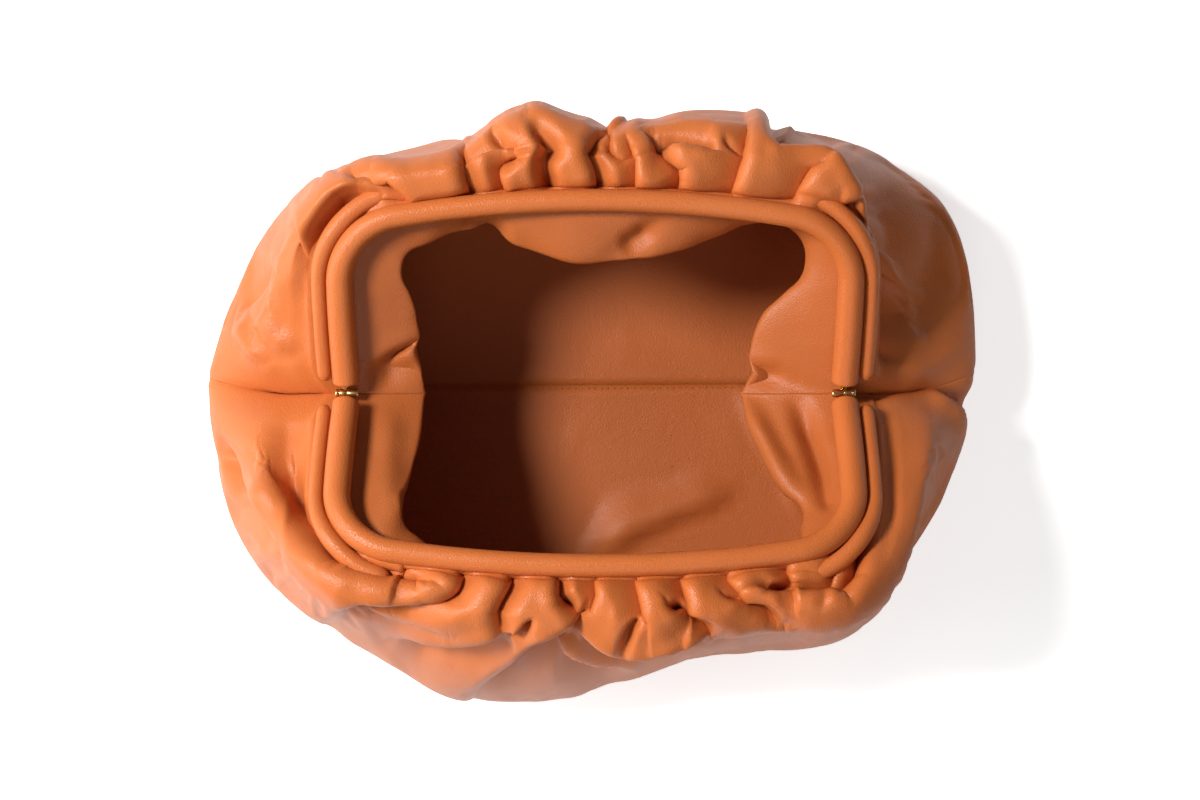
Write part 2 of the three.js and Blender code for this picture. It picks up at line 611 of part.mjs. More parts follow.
// The rolled welt outside one leg, from beside the hinge to a flared end under the last pleat.
const WELT_STEPS = 12;
function welt(side, end) {
  const start = 2 * LEG_RADIUS;
  const stations = [];
  for (let k = 0; k <= WELT_STEPS; k += 1) {
    const along = THREE.MathUtils.lerp(start, WELT_END, k / WELT_STEPS);
    const flare = WELT_FLARE * THREE.MathUtils.smoothstep(along, LEG_LENGTH, WELT_END) / 2;
    const radius = k === 0 ? WELT_RADIUS * 0.6 : WELT_RADIUS + flare;
    const outwards = tubeRadius(along) + CLEARANCE + WELT_RADIUS + flare;
    stations.push(station(side, end < 0 ? along : FRAME_LENGTH - along, outwards, 0, radius));
  }
  const name = `welt_${side.name}_${end < 0 ? "left" : "right"}`;
  return mesh(name, rod(stations, WELT_SIDES), LEATHER);
}

function solid(geometry) {
  return new wasm.Manifold(
    new wasm.Mesh({
      numProp: 3,
      vertProperties: new Float32Array(geometry.getAttribute("position").array),
      triVerts: new Uint32Array(geometry.index.array),
    }),
  );
}

function geometryOf(made) {
  const result = made.getMesh();
  const geometry = new THREE.BufferGeometry();
  geometry.setAttribute("position", new THREE.BufferAttribute(result.vertProperties, 3));
  geometry.setIndex(new THREE.BufferAttribute(result.triVerts, 1));
  geometry.computeVertexNormals();
  return geometry;
}

function cut(geometry, tools) {
  return geometryOf(tools.reduce((body, tool) => body.subtract(solid(tool)), solid(geometry)));
}

function join(geometry, others) {
  return geometryOf(others.reduce((body, other) => body.add(solid(other)), solid(geometry)));
}

// Turns a shape from one half's own plane, with X across, Y out and Z up, to its place at a hinge.
function atHinge(side, end, geometry) {
  const turn = new THREE.Matrix4().makeBasis(
    new THREE.Vector3(1, 0, 0),
    new THREE.Vector3(0, side.way * Math.cos(side.tilt), Math.sin(side.tilt)),
    new THREE.Vector3(0, -side.way * Math.sin(side.tilt), Math.cos(side.tilt)),
  );
  turn.setPosition((end * HINGE_SPAN) / 2, 0, HINGE_HEIGHT);
  return closed(geometry.applyMatrix4(turn));
}

// Which half of the barrel a side's knuckle takes: the back one is outside, the front one inside.
const KNUCKLE_LENGTH = (BARREL_LENGTH - CLEARANCE) / 2;
function knuckleMiddle(side, end) {
  return (end * side.way * (BARREL_LENGTH + CLEARANCE)) / 4;
}

// The part of a knuckle's leaf that runs into the frame tube, or its socket with room round it.
const LEAF_WIDTH = KNUCKLE_LENGTH - 2 * CLEARANCE;
const LEAF_UNDER = LEG_RADIUS - LEAF_THICKNESS;
const LEAF_START = BARREL_RADIUS - LEAF_THICKNESS;
function leafBlock(side, end, room) {
  const length = TUBE_START + LEAF_SINK - LEAF_START;
  const block = new THREE.BoxGeometry(LEAF_WIDTH + 2 * room, length + 2 * room, LEAF_THICKNESS + 2 * room);
  block.translate(knuckleMiddle(side, end), LEAF_START + length / 2, -LEAF_UNDER - LEAF_THICKNESS / 2);
  return atHinge(side, end, block);
}

function roundBar(radius, length, middle) {
  const bar = new THREE.CylinderGeometry(radius, radius, length, ROUND_SIDES);
  return bar.rotateZ(Math.PI / 2).translate(middle, 0, 0);
}

function knuckle(side, end) {
  const middle = knuckleMiddle(side, end);
  const barrel = atHinge(side, end, roundBar(BARREL_RADIUS, KNUCKLE_LENGTH, middle));
  const drop = new THREE.BoxGeometry(LEAF_WIDTH, LEAF_THICKNESS, LEAF_UNDER + LEAF_THICKNESS);
  drop.translate(middle, LEAF_START + LEAF_THICKNESS / 2, -(LEAF_UNDER + LEAF_THICKNESS) / 2);
  const bore = atHinge(side, end, roundBar(PIN_RADIUS + CLEARANCE, 2 * BARREL_LENGTH, 0));
  const joined = join(barrel, [atHinge(side, end, drop), leafBlock(side, end, 0)]);
  const name = `knuckle_${side.name}_${end < 0 ? "left" : "right"}`;
  return mesh(name, cut(joined, [bore]), BRASS);
}

// The hinge pin, with its domed head towards the mouth.
function hingePin(end) {
  const length = BARREL_LENGTH + 2 * CLEARANCE;
  const shaft = closed(roundBar(PIN_RADIUS, length, 0));
  const inwards = -end;
  const head = new THREE.CylinderGeometry(PIN_HEAD_RADIUS * 0.6, PIN_HEAD_RADIUS, PIN_HEAD_LENGTH, ROUND_SIDES);
  head.rotateZ((-inwards * Math.PI) / 2);
  head.translate((inwards * (length + PIN_HEAD_LENGTH)) / 2 - inwards * CLEARANCE * 0.2, 0, 0);
  const pin = join(shaft, [closed(head)]);
  const made = mesh(`pin_${end < 0 ? "left" : "right"}`, pin, BRASS);
  made.position.set((end * HINGE_SPAN) / 2, 0, HINGE_HEIGHT);
  return made;
}

function mesh(name, geometry, finish) {
  const made = new THREE.Mesh(geometry, new THREE.MeshStandardMaterial(finish));
  made.name = name;
  return made;
}

const bag = new THREE.Group();
for (const side of [BACK, FRONT]) {
  bag.add(panel(side), lining(side), frameTube(side));
  for (const end of [-1, 1]) bag.add(welt(side, end), knuckle(side, end));
}
for (const end of [-1, 1]) bag.add(hingePin(end));

// The origin lies on the floor at the middle of the bag's outline.
const bounds = new THREE.Box3().setFromObject(bag, true);
const middle = bounds.getCenter(new THREE.Vector3()).setZ(bounds.min.z);
for (const piece of bag.children) piece.position.sub(middle);

export default bag;
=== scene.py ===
from collections import namedtuple
from types import SimpleNamespace

import bmesh
import bpy
import numpy as np
from bpy.props import FloatProperty, FloatVectorProperty, IntProperty, PointerProperty
from mathutils import Matrix, Vector, noise


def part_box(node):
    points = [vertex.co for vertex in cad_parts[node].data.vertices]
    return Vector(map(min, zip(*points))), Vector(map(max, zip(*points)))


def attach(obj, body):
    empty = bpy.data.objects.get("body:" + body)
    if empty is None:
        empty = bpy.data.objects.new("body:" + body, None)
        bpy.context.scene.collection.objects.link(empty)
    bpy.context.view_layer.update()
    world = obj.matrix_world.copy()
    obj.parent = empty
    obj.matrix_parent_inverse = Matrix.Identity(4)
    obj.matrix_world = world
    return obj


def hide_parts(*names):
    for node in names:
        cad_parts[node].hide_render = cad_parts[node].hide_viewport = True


bl_info = {
    "name": "Gathered pouch bag",
    "version": (1, 0, 0),
    "blender": (4, 5, 0),
    "location": "View3D > Sidebar > Bag",
    "description": "Dresses the frame of an open pouch bag in gathered leather",
    "category": "Object",
}

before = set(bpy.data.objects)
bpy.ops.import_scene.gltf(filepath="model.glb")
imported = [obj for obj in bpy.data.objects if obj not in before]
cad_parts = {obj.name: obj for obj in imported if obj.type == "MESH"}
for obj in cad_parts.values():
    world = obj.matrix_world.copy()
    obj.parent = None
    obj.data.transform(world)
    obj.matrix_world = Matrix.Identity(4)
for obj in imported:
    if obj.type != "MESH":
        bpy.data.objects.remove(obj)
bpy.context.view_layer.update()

# Everything is worked out in millimetres from the floor under the middle of the hinge line, and
# laid in metres.
MM = 0.001
LEFT_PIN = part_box("pin_left")
RIGHT_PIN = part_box("pin_right")
HINGE_MIDDLE = (Vector(LEFT_PIN[0]) + Vector(LEFT_PIN[1]) + Vector(RIGHT_PIN[0]) + Vector(RIGHT_PIN[1])) / 4
UNDER_HINGE = Vector((HINGE_MIDDLE.x, HINGE_MIDDLE.y, 0))


def length(name, default, description):
    """A property for a length in metres."""
    return FloatProperty(name=name, description=description, default=default,
                         subtype="DISTANCE", unit="LENGTH")


def colour(name, default, description):
    """A property for a colour."""
    return FloatVectorProperty(name=name, description=description, default=default,
                               subtype="COLOR", min=0, max=1)


class BagSizes(bpy.types.PropertyGroup):
    """The sizes of the bag."""

    hinge_span: length("Hinge span", 0.241, "Distance between the two hinges")
    frame_width: length("Frame width", 0.244, "Width of the frame between its legs' centres")
    frame_reach: length("Frame reach", 0.098, "From the hinge line to the middle of a bar")
    corner_radius: length("Corner radius", 0.034, "Radius of the frame's corners")
    bar_bow_radius: length("Bar bow radius", 0.56, "Radius of the bars' slight bow")
    leg_radius: length("Leg radius", 0.0066, "Radius of the covered tube beside the hinges")
    bar_radius: length("Bar radius", 0.0054, "Radius of the covered tube along the bars")
    barrel_radius: length("Barrel radius", 0.0022, "Radius of a hinge's barrel")
    barrel_length: length("Barrel length", 0.0116, "Length of a hinge's barrel")
    tube_start: length("Tube start", 0.005, "From the hinge line to a tube's end")
    back_tilt: FloatProperty(name="Back tilt", description="How far the back half stands up",
                             default=np.radians(22), subtype="ANGLE")
    front_tilt: FloatProperty(name="Front tilt", description="How far the front half stands up",
                              default=np.radians(35.5), subtype="ANGLE")
    body_length: length("Body length", 0.39, "Length of the leather body")
    body_depth: length("Body depth", 0.3, "Depth of the leather body")
    base_seam: length("Base seam", 0.3, "Length of the seam under the bag")
    gather_reach: length("Gather reach", 0.04, "How far the gathers stand out from the frame")
    gather_rise: length("Gather rise", 0.01, "How far the gathers rise over the frame")
    leather: length("Leather", 0.0014, "Thickness of the outer leather")
    lining: length("Lining", 0.001, "Thickness of the lining leather")
    lining_hang: length("Lining hang", 0.04, "How far the lining swells into the mouth")
    welt: length("Welt", 0.0026, "Radius of the rolled edge's core beside each leg")
    strip: length("Strip", 0.0037, "Half the width of the rolled edge beside each leg")
    grain: length("Grain", 0.0007, "Size of the leather's grain")
    camera_height: length("Camera height", 1.2, "Height of the camera over the hinges")
    columns: IntProperty(name="Columns", description="Cells along a leather panel", default=500)
    rows: IntProperty(name="Rows", description="Cells down a leather panel", default=97)


class BagColours(bpy.types.PropertyGroup):
    """The colours of the bag."""

    leather: colour("Leather", (0.53, 0.133, 0.031), "Colour of the leather")
    worn: colour("Worn leather", (0.6, 0.17, 0.048), "Paler colour of stretched leather")
    brass: colour("Brass", (0.8, 0.58, 0.24), "Colour of the hinges")
    floor: colour("Floor", (0.93, 0.93, 0.93), "Colour of the floor")


# The leather body, in sections along the frame from the left hinge (0) to the right (1).
# long and deep place the widest point, as shares of half the body's length and depth, and high is
# its height as a share of the hinge's. reach is a share of the gathers' reach; lip, crown and brow
# are heights over the frame as shares of the gathers' rise; foot is where the leather meets the
# floor, between the base seam (0) and the widest point (1).
Section = namedtuple("Section", "at long deep high reach lip crown brow foot")
LEFT_SEAM = Section(0, -1, 0.05, 0.5, 0.7, -0.2, -0.5, -1.3, 0.6)
RIGHT_SEAM = Section(1, 0.98, 0.07, 0.5, 0.7, -0.2, -0.5, -1.3, 0.6)
BACK_SECTIONS = (
    LEFT_SEAM,
    Section(0.08, -0.945, 0.28, 0.5, 0.66, -0.3, -0.7, -1.6, 0.8),
    Section(0.15, -0.875, 0.45, 0.55, 0.5, 0, 0, -1.2, 0.82),
    Section(0.21, -0.78, 0.61, 0.6, 0.45, 0.5, 0.7, -0.8, 0.82),
    Section(0.27, -0.61, 0.73, 0.6, 0.52, 0.7, 1, -0.5, 0.82),
    Section(0.34, -0.45, 0.78, 0.6, 0.58, 0.8, 1.1, -0.4, 0.82),
    Section(0.43, -0.2, 0.84, 0.58, 1, 0.8, 1.2, -0.6, 0.82),
    Section(0.5, 0.02, 0.86, 0.56, 0.78, 0.8, 1, -0.6, 0.82),
    Section(0.6, 0.28, 0.89, 0.56, 0.88, 0.8, 1.1, -0.6, 0.82),
    Section(0.68, 0.49, 0.9, 0.55, 0.92, 0.8, 1.1, -0.7, 0.82),
    Section(0.75, 0.66, 0.86, 0.52, 0.78, 0.7, 0.9, -0.9, 0.82),
    Section(0.8, 0.77, 0.76, 0.5, 0.45, 0.3, 0.1, -1.6, 0.82),
    Section(0.87, 0.905, 0.61, 0.5, 0.55, -0.5, -1.7, -3.4, 0.82),
    Section(0.94, 0.97, 0.33, 0.5, 0.65, -0.4, -1.2, -2.4, 0.8),
    RIGHT_SEAM,
)
FRONT_SECTIONS = (
    LEFT_SEAM,
    Section(0.08, -0.98, -0.17, 0.5, 0.66, -0.7, -1.2, -0.9, 0.8),
    Section(0.15, -0.93, -0.42, 0.5, 0.56, -0.6, -1.4, -1.2, 0.82),
    Section(0.21, -0.8, -0.64, 0.5, 0.58, 0.3, 0, -1.4, 0.82),
    Section(0.27, -0.65, -0.79, 0.5, 0.65, 0.6, 0.6, -1.2, 0.82),
    Section(0.34, -0.47, -0.95, 0.46, 0.78, 0.8, 0.9, -0.9, 0.82),
    Section(0.42, -0.3, -1.03, 0.42, 0.85, 0.8, 1, -0.8, 0.82),
    Section(0.5, -0.09, -1.01, 0.42, 0.8, 0.8, 1, -0.8, 0.82),
    Section(0.59, 0.12, -0.93, 0.46, 0.9, 0.8, 1.1, -0.8, 0.82),
    Section(0.68, 0.32, -0.84, 0.55, 0.75, 0.8, 1, -0.7, 0.82),
    Section(0.76, 0.52, -0.79, 0.6, 0.76, 0.6, 0.9, -0.8, 0.82),
    Section(0.83, 0.69, -0.66, 0.6, 0.5, -0.2, 0, -1, 0.82),
    Section(0.92, 0.89, -0.34, 0.55, 0.66, -0.4, -0.4, -1, 0.8),
    RIGHT_SEAM,
)

# The lining: inset is how far it swells into the mouth, as a share of its hang, and sag how far
# below the frame that swelling hangs, as a share of the hinge height.
Swelling = namedtuple("Swelling", "at inset sag")
BACK_LINING = (
    Swelling(0, 0.85, 0.08), Swelling(0.12, 0.78, 0.08), Swelling(0.2, 0.62, 0.11),
    Swelling(0.27, 0.42, 0.14), Swelling(0.34, 0.32, 0.15), Swelling(0.48, 0.75, 0.15),
    Swelling(0.6, 0.6, 0.17), Swelling(0.72, 0.1, 0.25), Swelling(0.82, 0.45, 0.2), Swelling(0.9, 0.9, 0.19),
    Swelling(1, 1.15, 0.15),
)
FRONT_LINING = (
    Swelling(0, 0.85, 0.08), Swelling(0.12, 0.74, 0.08), Swelling(0.2, 0.64, 0.11),
    Swelling(0.26, 0.38, 0.15), Swelling(0.34, 0.06, 0.2), Swelling(0.6, 0, 0.2), Swelling(0.74, 0.1, 0.23),
    Swelling(0.84, 0.5, 0.21), Swelling(0.92, 0.85, 0.19), Swelling(1, 1.15, 0.15),
)

# The folds, as they are seen from straight above. A line's points are places in a picture
# 1200 wide and 800 high, with y down, whose middle the camera looks at. deep is in millimetres, to
# be taken FOLD_DEPTH times, and where it is below 0 the row raises a ridge.
# over tells which hand of the line lies on top, walking from its first point to its last: 1 right,
# -1 left, 0 neither. roll is how wide the upper edge curls and slope how far the lower side takes
# to come back up, in the same picture's units. lip is how far the upper edge hangs over. start and
# end are the shares of the depth at the ends.
Fold = namedtuple("Fold", "line deep over roll slope lip start end")
BACK_FOLDS = (
    # gathers, from left to right
    Fold(((410, 203), (399, 190), (387, 178), (371, 171), (352, 170), (338, 172)),
         6, 1, 6.4, 16, 4, 0.6, 0.2),
    Fold(((466, 195), (460, 181), (455, 164), (457, 152), (463, 140)), 7, -1, 5.6, 22, 4, 1, 0.3),
    Fold(((509, 191), (504, 181), (502, 171), (507, 165), (516, 162)), 7, 1, 4.8, 16, 3, 1, 0.6),
    Fold(((551, 190), (545, 175), (543, 160), (551, 151), (551, 141), (539, 127), (528, 115)),
         9, 0, 10, 13, 0, 1, 0.1),
    Fold(((593, 190), (590, 172), (583, 154), (586, 140), (595, 129), (608, 123)),
         8, -1, 5.6, 20, 4, 1, 0.4),
    Fold(((611, 124), (613, 140), (619, 150), (632, 156), (640, 153)), 7, -1, 4.8, 14, 3, 0.5, 0.1),
    Fold(((639, 191), (639, 175), (639, 160), (634, 143), (622, 128)), 6, 1, 4.8, 22, 3, 1, 0.1),
    Fold(((683, 194), (685, 180), (684, 168), (672, 158), (657, 145), (650, 136)),
         8, 1, 5.6, 18, 4, 1, 0.3),
    Fold(((655, 133), (672, 139), (690, 143), (708, 148), (722, 149)), 8, 1, 4.8, 16, 3, 0.7, 0.2),
    Fold(((733, 198), (740, 181), (748, 157), (750, 140), (748, 118)), 6, 1, 4.8, 24, 3, 1, 0.2),
    Fold(((748, 150), (735, 143), (720, 133)), 4, 0, 4.8, 8, 0, 0.4, 0.1),
    Fold(((787, 208), (802, 190), (814, 171), (831, 153)), 5, 1, 6.4, 24, 3, 1, 0.3),
    Fold(((771, 116), (773, 131), (781, 140), (798, 140), (831, 142),
          (846, 154), (857, 176), (872, 202), (873, 240), (870, 262)),
         12, 1, 6.4, 26, 4, 0.5, 0.3),
    Fold(((819, 205), (830, 199), (842, 200), (855, 201), (862, 217), (868, 240)),
         7, -1, 4.8, 10, 3, 0.4, 0.3),
    Fold(((826, 221), (835, 218), (842, 211), (843, 203)), 8, 1, 4.4, 10, 2, 0.6, 0.5),
    # hollows between the gathers
    Fold(((508, 168), (511, 165), (516, 162)), 13, 0, 4.5, 4.5, 0, 0.8, 0.6),
    Fold(((547, 166), (548, 155), (547, 144)), 9, 0, 8, 8, 0, 0.5, 0.4),
    Fold(((654, 134), (662, 145), (671, 157), (679, 168)), 13, 0, 7, 7, 0, 0.8, 0.5),
    Fold(((662, 131), (688, 136), (708, 143)), 12, 0, 6, 6, 0, 0.6, 0.8),
    # arch over the second gather
    Fold(((459, 164), (480, 157), (498, 151), (513, 147)), 5, 1, 4.8, 16, 3, 0.2, 0.5),
    Fold(((484, 126), (497, 136), (510, 146), (520, 158)), 5, 0, 9, 12, 0, 0.1, 0.4),
    # left corner roll and its lobe over the body
    Fold(((376, 197), (357, 199), (343, 205), (332, 222), (322, 240), (316, 262)),
         9, -1, 6.4, 12, 5, 0.5, 0.4),
    Fold(((289, 211), (294, 233), (306, 253), (315, 264)), 3, -1, 6, 26, 2, 0.2, 0.6),
    Fold(((264, 268), (260, 284), (250, 299), (233, 312)), 4, -1, 6.4, 14, 2, 0.5, 0.2),
    Fold(((236, 318), (254, 347), (268, 366)), -2.5, 0, 10, 10, 0, 0.2, 0.2),
    Fold(((251, 306), (275, 335), (300, 356)), -2, 0, 12, 12, 0, 0.2, 0.2),
    # right body hollow
    Fold(((886, 195), (893, 245), (893, 310), (886, 350)), 14, 0, 21, 24, 0, 0.6, 0.5),
)
FRONT_FOLDS = (
    Fold(((356, 555), (352, 563), (342, 569)), 9, -1, 4.8, 10, 3, 0.6, 0.8),
    Fold(((293, 478), (293, 500), (301, 524), (314, 546), (329, 563),
          (345, 571), (376, 577), (397, 580), (414, 581)),
         12, 1, 8, 15, 4.5, 0.15, 0.5),
    Fold(((246, 452), (264, 490), (282, 524), (302, 556), (338, 592)), -4, 0, 15, 15, 0, 0, 0.4),
    Fold(((405, 565), (399, 573), (396, 580)), 6, 1, 4, 16, 3, 0.5, 0.8),
    Fold(((459, 574), (451, 589), (438, 597), (414, 603), (392, 605), (362, 606), (340, 614)),
         9, 1, 6.4, 15, 5, 1, 0.3),
    Fold(((510, 578), (497, 599), (491, 613), (495, 628)), 9, 1, 6.4, 14, 4, 1, 0.6),
    Fold(((519, 638), (526, 630), (531, 623)), 7, 0, 4, 5, 0, 0.6, 0.3),
    Fold(((556, 581), (556, 596), (565, 607), (576, 617)), 9, 1, 5.6, 12, 3, 1, 0.8),
    Fold(((576, 617), (570, 628), (556, 636), (538, 644), (514, 660), (494, 678), (476, 694)),
         8.5, 1, 6.4, 24, 5, 0.8, 0.25),
    Fold(((598, 581), (599, 595), (592, 618), (575, 638)), 6, -1, 4.8, 20, 3, 1, 0.5),
    Fold(((638, 581), (644, 605), (648, 631)), 5, -1, 4.8, 20, 3, 1, 0.2),
    Fold(((642, 618), (631, 632), (621, 653)), 5, 0, 6.4, 9, 0, 0.2, 0.2),
    Fold(((685, 579), (692, 600), (695, 617), (690, 628)), 7, -1, 4.8, 16, 4, 1, 0.5),
    Fold(((667, 604), (677, 616), (691, 631), (712, 638), (724, 640)), 8, 1, 4.8, 10, 3, 0.3, 0.2),
    Fold(((729, 575), (744, 590), (750, 604)), 6, -1, 4.8, 18, 4, 1, 0.6),
    Fold(((722, 594), (738, 606), (752, 615), (768, 622), (784, 627)), 8, 1, 4.8, 12, 3, 0.3, 0.2),
    Fold(((787, 567), (797, 580), (797, 592)), 7, -1, 4, 16, 3, 1, 0.8),
    Fold(((768, 590), (780, 593), (800, 592), (832, 592), (848, 596),
          (862, 575), (869, 545), (876, 508), (875, 470), (868, 430)),
         10, 1, 5.6, 14, 4, 0.5, 0.3),
    Fold(((826, 554), (840, 564), (838, 582), (834, 590)), 7, -1, 4, 14, 3, 0.4, 0.8),
    # holes between the gathers
    Fold(((564, 603), (570, 610), (576, 618)), 19, 0, 8.5, 8.5, 0, 0.8, 0.7),
    Fold(((678, 608), (685, 616), (692, 624)), 18, 0, 8, 8, 0, 0.8, 0.8),
    Fold(((777, 588), (784, 587), (791, 584)), 14, 0, 6.5, 6.5, 0, 0.8, 0.8),
    # layered hem under the middle gathers
    Fold(((575, 640), (600, 650), (622, 658), (645, 659), (680, 652), (713, 644)),
         7.5, -1, 4.8, 15, 5, 0.5, 0.3),
    Fold(((551, 645), (568, 665), (594, 675), (634, 680)), 5, -1, 4, 14, 4, 0.4, 0.3),
    # lower left pouch
    Fold(((390, 645), (420, 651), (450, 652), (482, 647), (512, 638)), 7, -1, 5.6, 18, 4, 0.1, 0.6),
    # left flank
    Fold(((219, 446), (230, 470), (239, 500)), 5, 0, 5.6, 9, 0, 0.2, 0.2),
    Fold(((238, 484), (258, 515), (282, 554)), 4, -1, 6.4, 16, 2, 0.2, 0.2),
    # right flank
    Fold(((873, 399), (909, 385), (934, 382), (946, 393), (963, 403), (969, 418), (969, 438), (960, 462)),
         9, 1, 6.4, 16, 5, 0.5, 0.5),
)
LINING_FOLDS = (
    # left side
    Fold(((430, 343), (412, 349), (394, 357), (376, 370), (366, 386)), 4.5, 1, 7, 18, 1.5, 0.4, 0.2),
    Fold(((416, 362), (400, 368), (386, 378), (376, 390)), 2, 1, 6, 12, 1, 0.3, 0.2),
    Fold(((352, 400), (350, 440), (354, 480), (364, 524)), 1.5, 0, 10, 10, 0, 0, 0.3),
    Fold(((388, 400), (388, 440), (387, 485), (386, 530)), -2, 0, 17, 17, 0, 0, 0.5),
    # right side
    Fold(((727, 377), (760, 380), (795, 386), (828, 393)), 2, 0, 4, 5, 0, 0.8, 0.8),
    Fold(((731, 358), (742, 365), (765, 372), (792, 376)), 5, -1, 6, 12, 3, 0.8, 0.2),
    Fold(((796, 398), (806, 425), (819, 462), (826, 498)), 6, 0, 11, 11, 0, 0.3, 0.4),
    Fold(((744, 402), (764, 436), (784, 472), (806, 522)), -3, 0, 10, 10, 0, 0.4, 0.4),
    Fold(((765, 486), (782, 512), (806, 545)), 7, -1, 6, 14, 4, 0.4, 0.8),
    # floor and back
    Fold(((580, 556), (612, 540), (650, 522), (700, 504), (750, 488)), -6, 1, 8, 28, 0, 0.3, 0.3),
    Fold(((652, 226), (640, 240), (618, 252)), 3, 0, 12, 12, 0, 0.4, 0.2),
    Fold(((470, 222), (490, 236), (478, 252), (450, 262)), 4, 1, 8, 14, 2, 0.4, 0.3),
)

BACK = SimpleNamespace(name="back", way=1, sections=BACK_SECTIONS, folds=BACK_FOLDS, lining=BACK_LINING)
FRONT = SimpleNamespace(name="front", way=-1, sections=FRONT_SECTIONS, folds=FRONT_FOLDS, lining=FRONT_LINING)
ENDS = {"left": -1, "right": 1}

# Lengths in millimetres.
CLEARANCE = 0.3  # between pieces that touch
WELT_FLARE = 1.5  # how much wider a welt is at the frame's corner
WELT_DIVE = 6.5  # how far its end goes down under the leather
LINING_INSET = 10  # from the outer leather's widest point in to the lining
LINING_LIFT = 9  # how far the lining's top stands up beside the tube
LIP_DRAWN_IN = 3.4  # how far the gathers' lip leans onto the tube
DEEPEST = 23  # no fold cuts deeper than this
SEAM_DEPTH = 1.2  # how far the seams at both ends draw in
SEAM_WIDTH = 2.2  # and over what width

# Where a section's lip and crown lie, as shares of the gathers' reach.
LIP_OUT = 0.14
CROWN_OUT = 0.48

# How far along the frame the lining looks to each side, so that it turns the corners slowly.
CORNER_SPREAD = (-0.08, -0.04, 0, 0.04, 0.08)

# How crisp the lining's bends are: 0 on a smooth curve, 1 on straight lines.
CRISP = 0.55

# All the folds together, against what their rows say.
FOLD_DEPTH = 1.85  # times deep
ROLL_SHARE = 0.87  # times roll
FOLD_HANG = 2.2  # times lip
CREST = 0.08  # how high the leather swells beside a fold, as a share of deep
CREST_AT = 2.2  # where that swelling is highest, in rolls
CREST_WIDTH = 1.1  # and how wide it is
HANG_WIDTH = 1.1  # where the upper edge hangs over most, in rolls

# The picture that the folds' places are given in: its middle, the lens in its own units, and how far
# the camera stands beside the middle of the hinge line, in millimetres.
PICTURE_MIDDLE = (600, 400)
PICTURE_WIDTH = 1200
FOCAL = 2472
VIEW_FROM = (2.2, -3.2)

# The shares of a sheet's rows that go to each stretch of its section.
ROW_SHARES = (0.09, 0.2, 0.22, 0.27, 0.14, 0.08)
LINING_ROW_SHARES = (0.3, 0.3, 0.2, 0.2)

# Between BAR_FROM and its mirror, along the frame, a sheet has BAR_SHARE of its columns.
BAR_FROM = 0.2
BAR_SHARE = 0.68

# Cells round and along the smaller pieces.
LINING_CELLS = (260, 110)
TUBE_CELLS = (32, 420)
WELT_CELLS = (20, 90)

# How long an outer panel relaxes as cloth, how far it may go in millimetres, and how the leather
# behaves.
SETTLE_FRAMES = 7
SETTLE_CAP = 2.5
CLOTH = {
    "quality": 4, "mass": 0.4, "tension_stiffness": 30, "compression_stiffness": 30,
    "shear_stiffness": 12, "bending_stiffness": 8, "shrink_min": -0.008,
}

# Edges of a hinge that turn by more than this, in radians, are rounded by this much, in millimetres.
SHARP = 0.6
ROUNDING = 0.06

# The colour sockets of a Mix node.
MIX_A, MIX_B, MIX_RESULT = 6, 7, 2

# The lamps: name, place, size and power, in metres and watts.
LAMPS = (
    ("window", (-1.1, 0.38, 1.5), 0.5, 40),
    ("low window", (-1.6, -0.1, 0.7), 1.0, 15),
    ("fill", (0.3, -1.3, 1.5), 1.2, 8),
)


def plan(context):
    """The bag's sizes in millimetres, with what follows from them."""
    sizes = context.scene.bag_sizes
    bag = SimpleNamespace(**{key: getattr(sizes, key) / MM for key in sizes.__annotations__})
    bag.columns, bag.rows = sizes.columns, sizes.rows
    bag.tilt = {"back": sizes.back_tilt, "front": sizes.front_tilt}
    bag.hinge_height = HINGE_MIDDLE.z / MM
    across = bag.frame_width / 2 - bag.corner_radius
    bag.corner_across = across
    bag.bar_centre = bag.frame_reach - bag.bar_bow_radius
    bag.leg_length = bag.bar_centre + np.sqrt((bag.bar_bow_radius - bag.corner_radius) ** 2 - across**2)
    bag.corner_sweep = np.arctan2(bag.leg_length - bag.bar_centre, across)
    bag.corner_length = bag.corner_radius * bag.corner_sweep
    bag.bar_start = bag.leg_length + bag.corner_length
    half_bar = bag.bar_bow_radius * (np.pi / 2 - bag.corner_sweep)
    bag.frame_length = 2 * (bag.bar_start + half_bar)
    bag.welt_end = bag.leg_length + bag.corner_length * 0.5
    bag.lining_floor = bag.leather + CLEARANCE + bag.lining / 2
    return bag


def smooth(value, low, high):
    """0 below low, 1 above high, and eased between."""
    share = np.clip((value - low) / (high - low), 0, 1)
    return share * share * (3 - 2 * share)


def mix(a, b, share):
    """Between a (share 0) and b (share 1)."""
    return a + (b - a) * share


def unit(vectors):
    """Vectors of length one, along the last axis."""
    return vectors / np.maximum(np.linalg.norm(vectors, axis=-1, keepdims=True), 1e-9)


def eased(rows, column, at):
    """A column's value at places between a table's rows, eased through the rows."""
    places = np.array([row.at for row in rows])
    values = np.array([getattr(row, column) for row in rows])
    slopes = np.empty_like(values, dtype=float)
    slopes[1:-1] = (values[2:] - values[:-2]) / (places[2:] - places[:-2])
    slopes[0] = (values[1] - values[0]) / (places[1] - places[0])
    slopes[-1] = (values[-1] - values[-2]) / (places[-1] - places[-2])
    i = np.clip(np.searchsorted(places, at, side="right") - 1, 0, len(places) - 2)
    width = places[i + 1] - places[i]
    s = (at - places[i]) / width
    rest = 1 - s
    return (values[i] * rest**2 * (1 + 2 * s) + values[i + 1] * s**2 * (1 + 2 * rest)
            + (slopes[i] * rest - slopes[i + 1] * s) * width * s * rest)


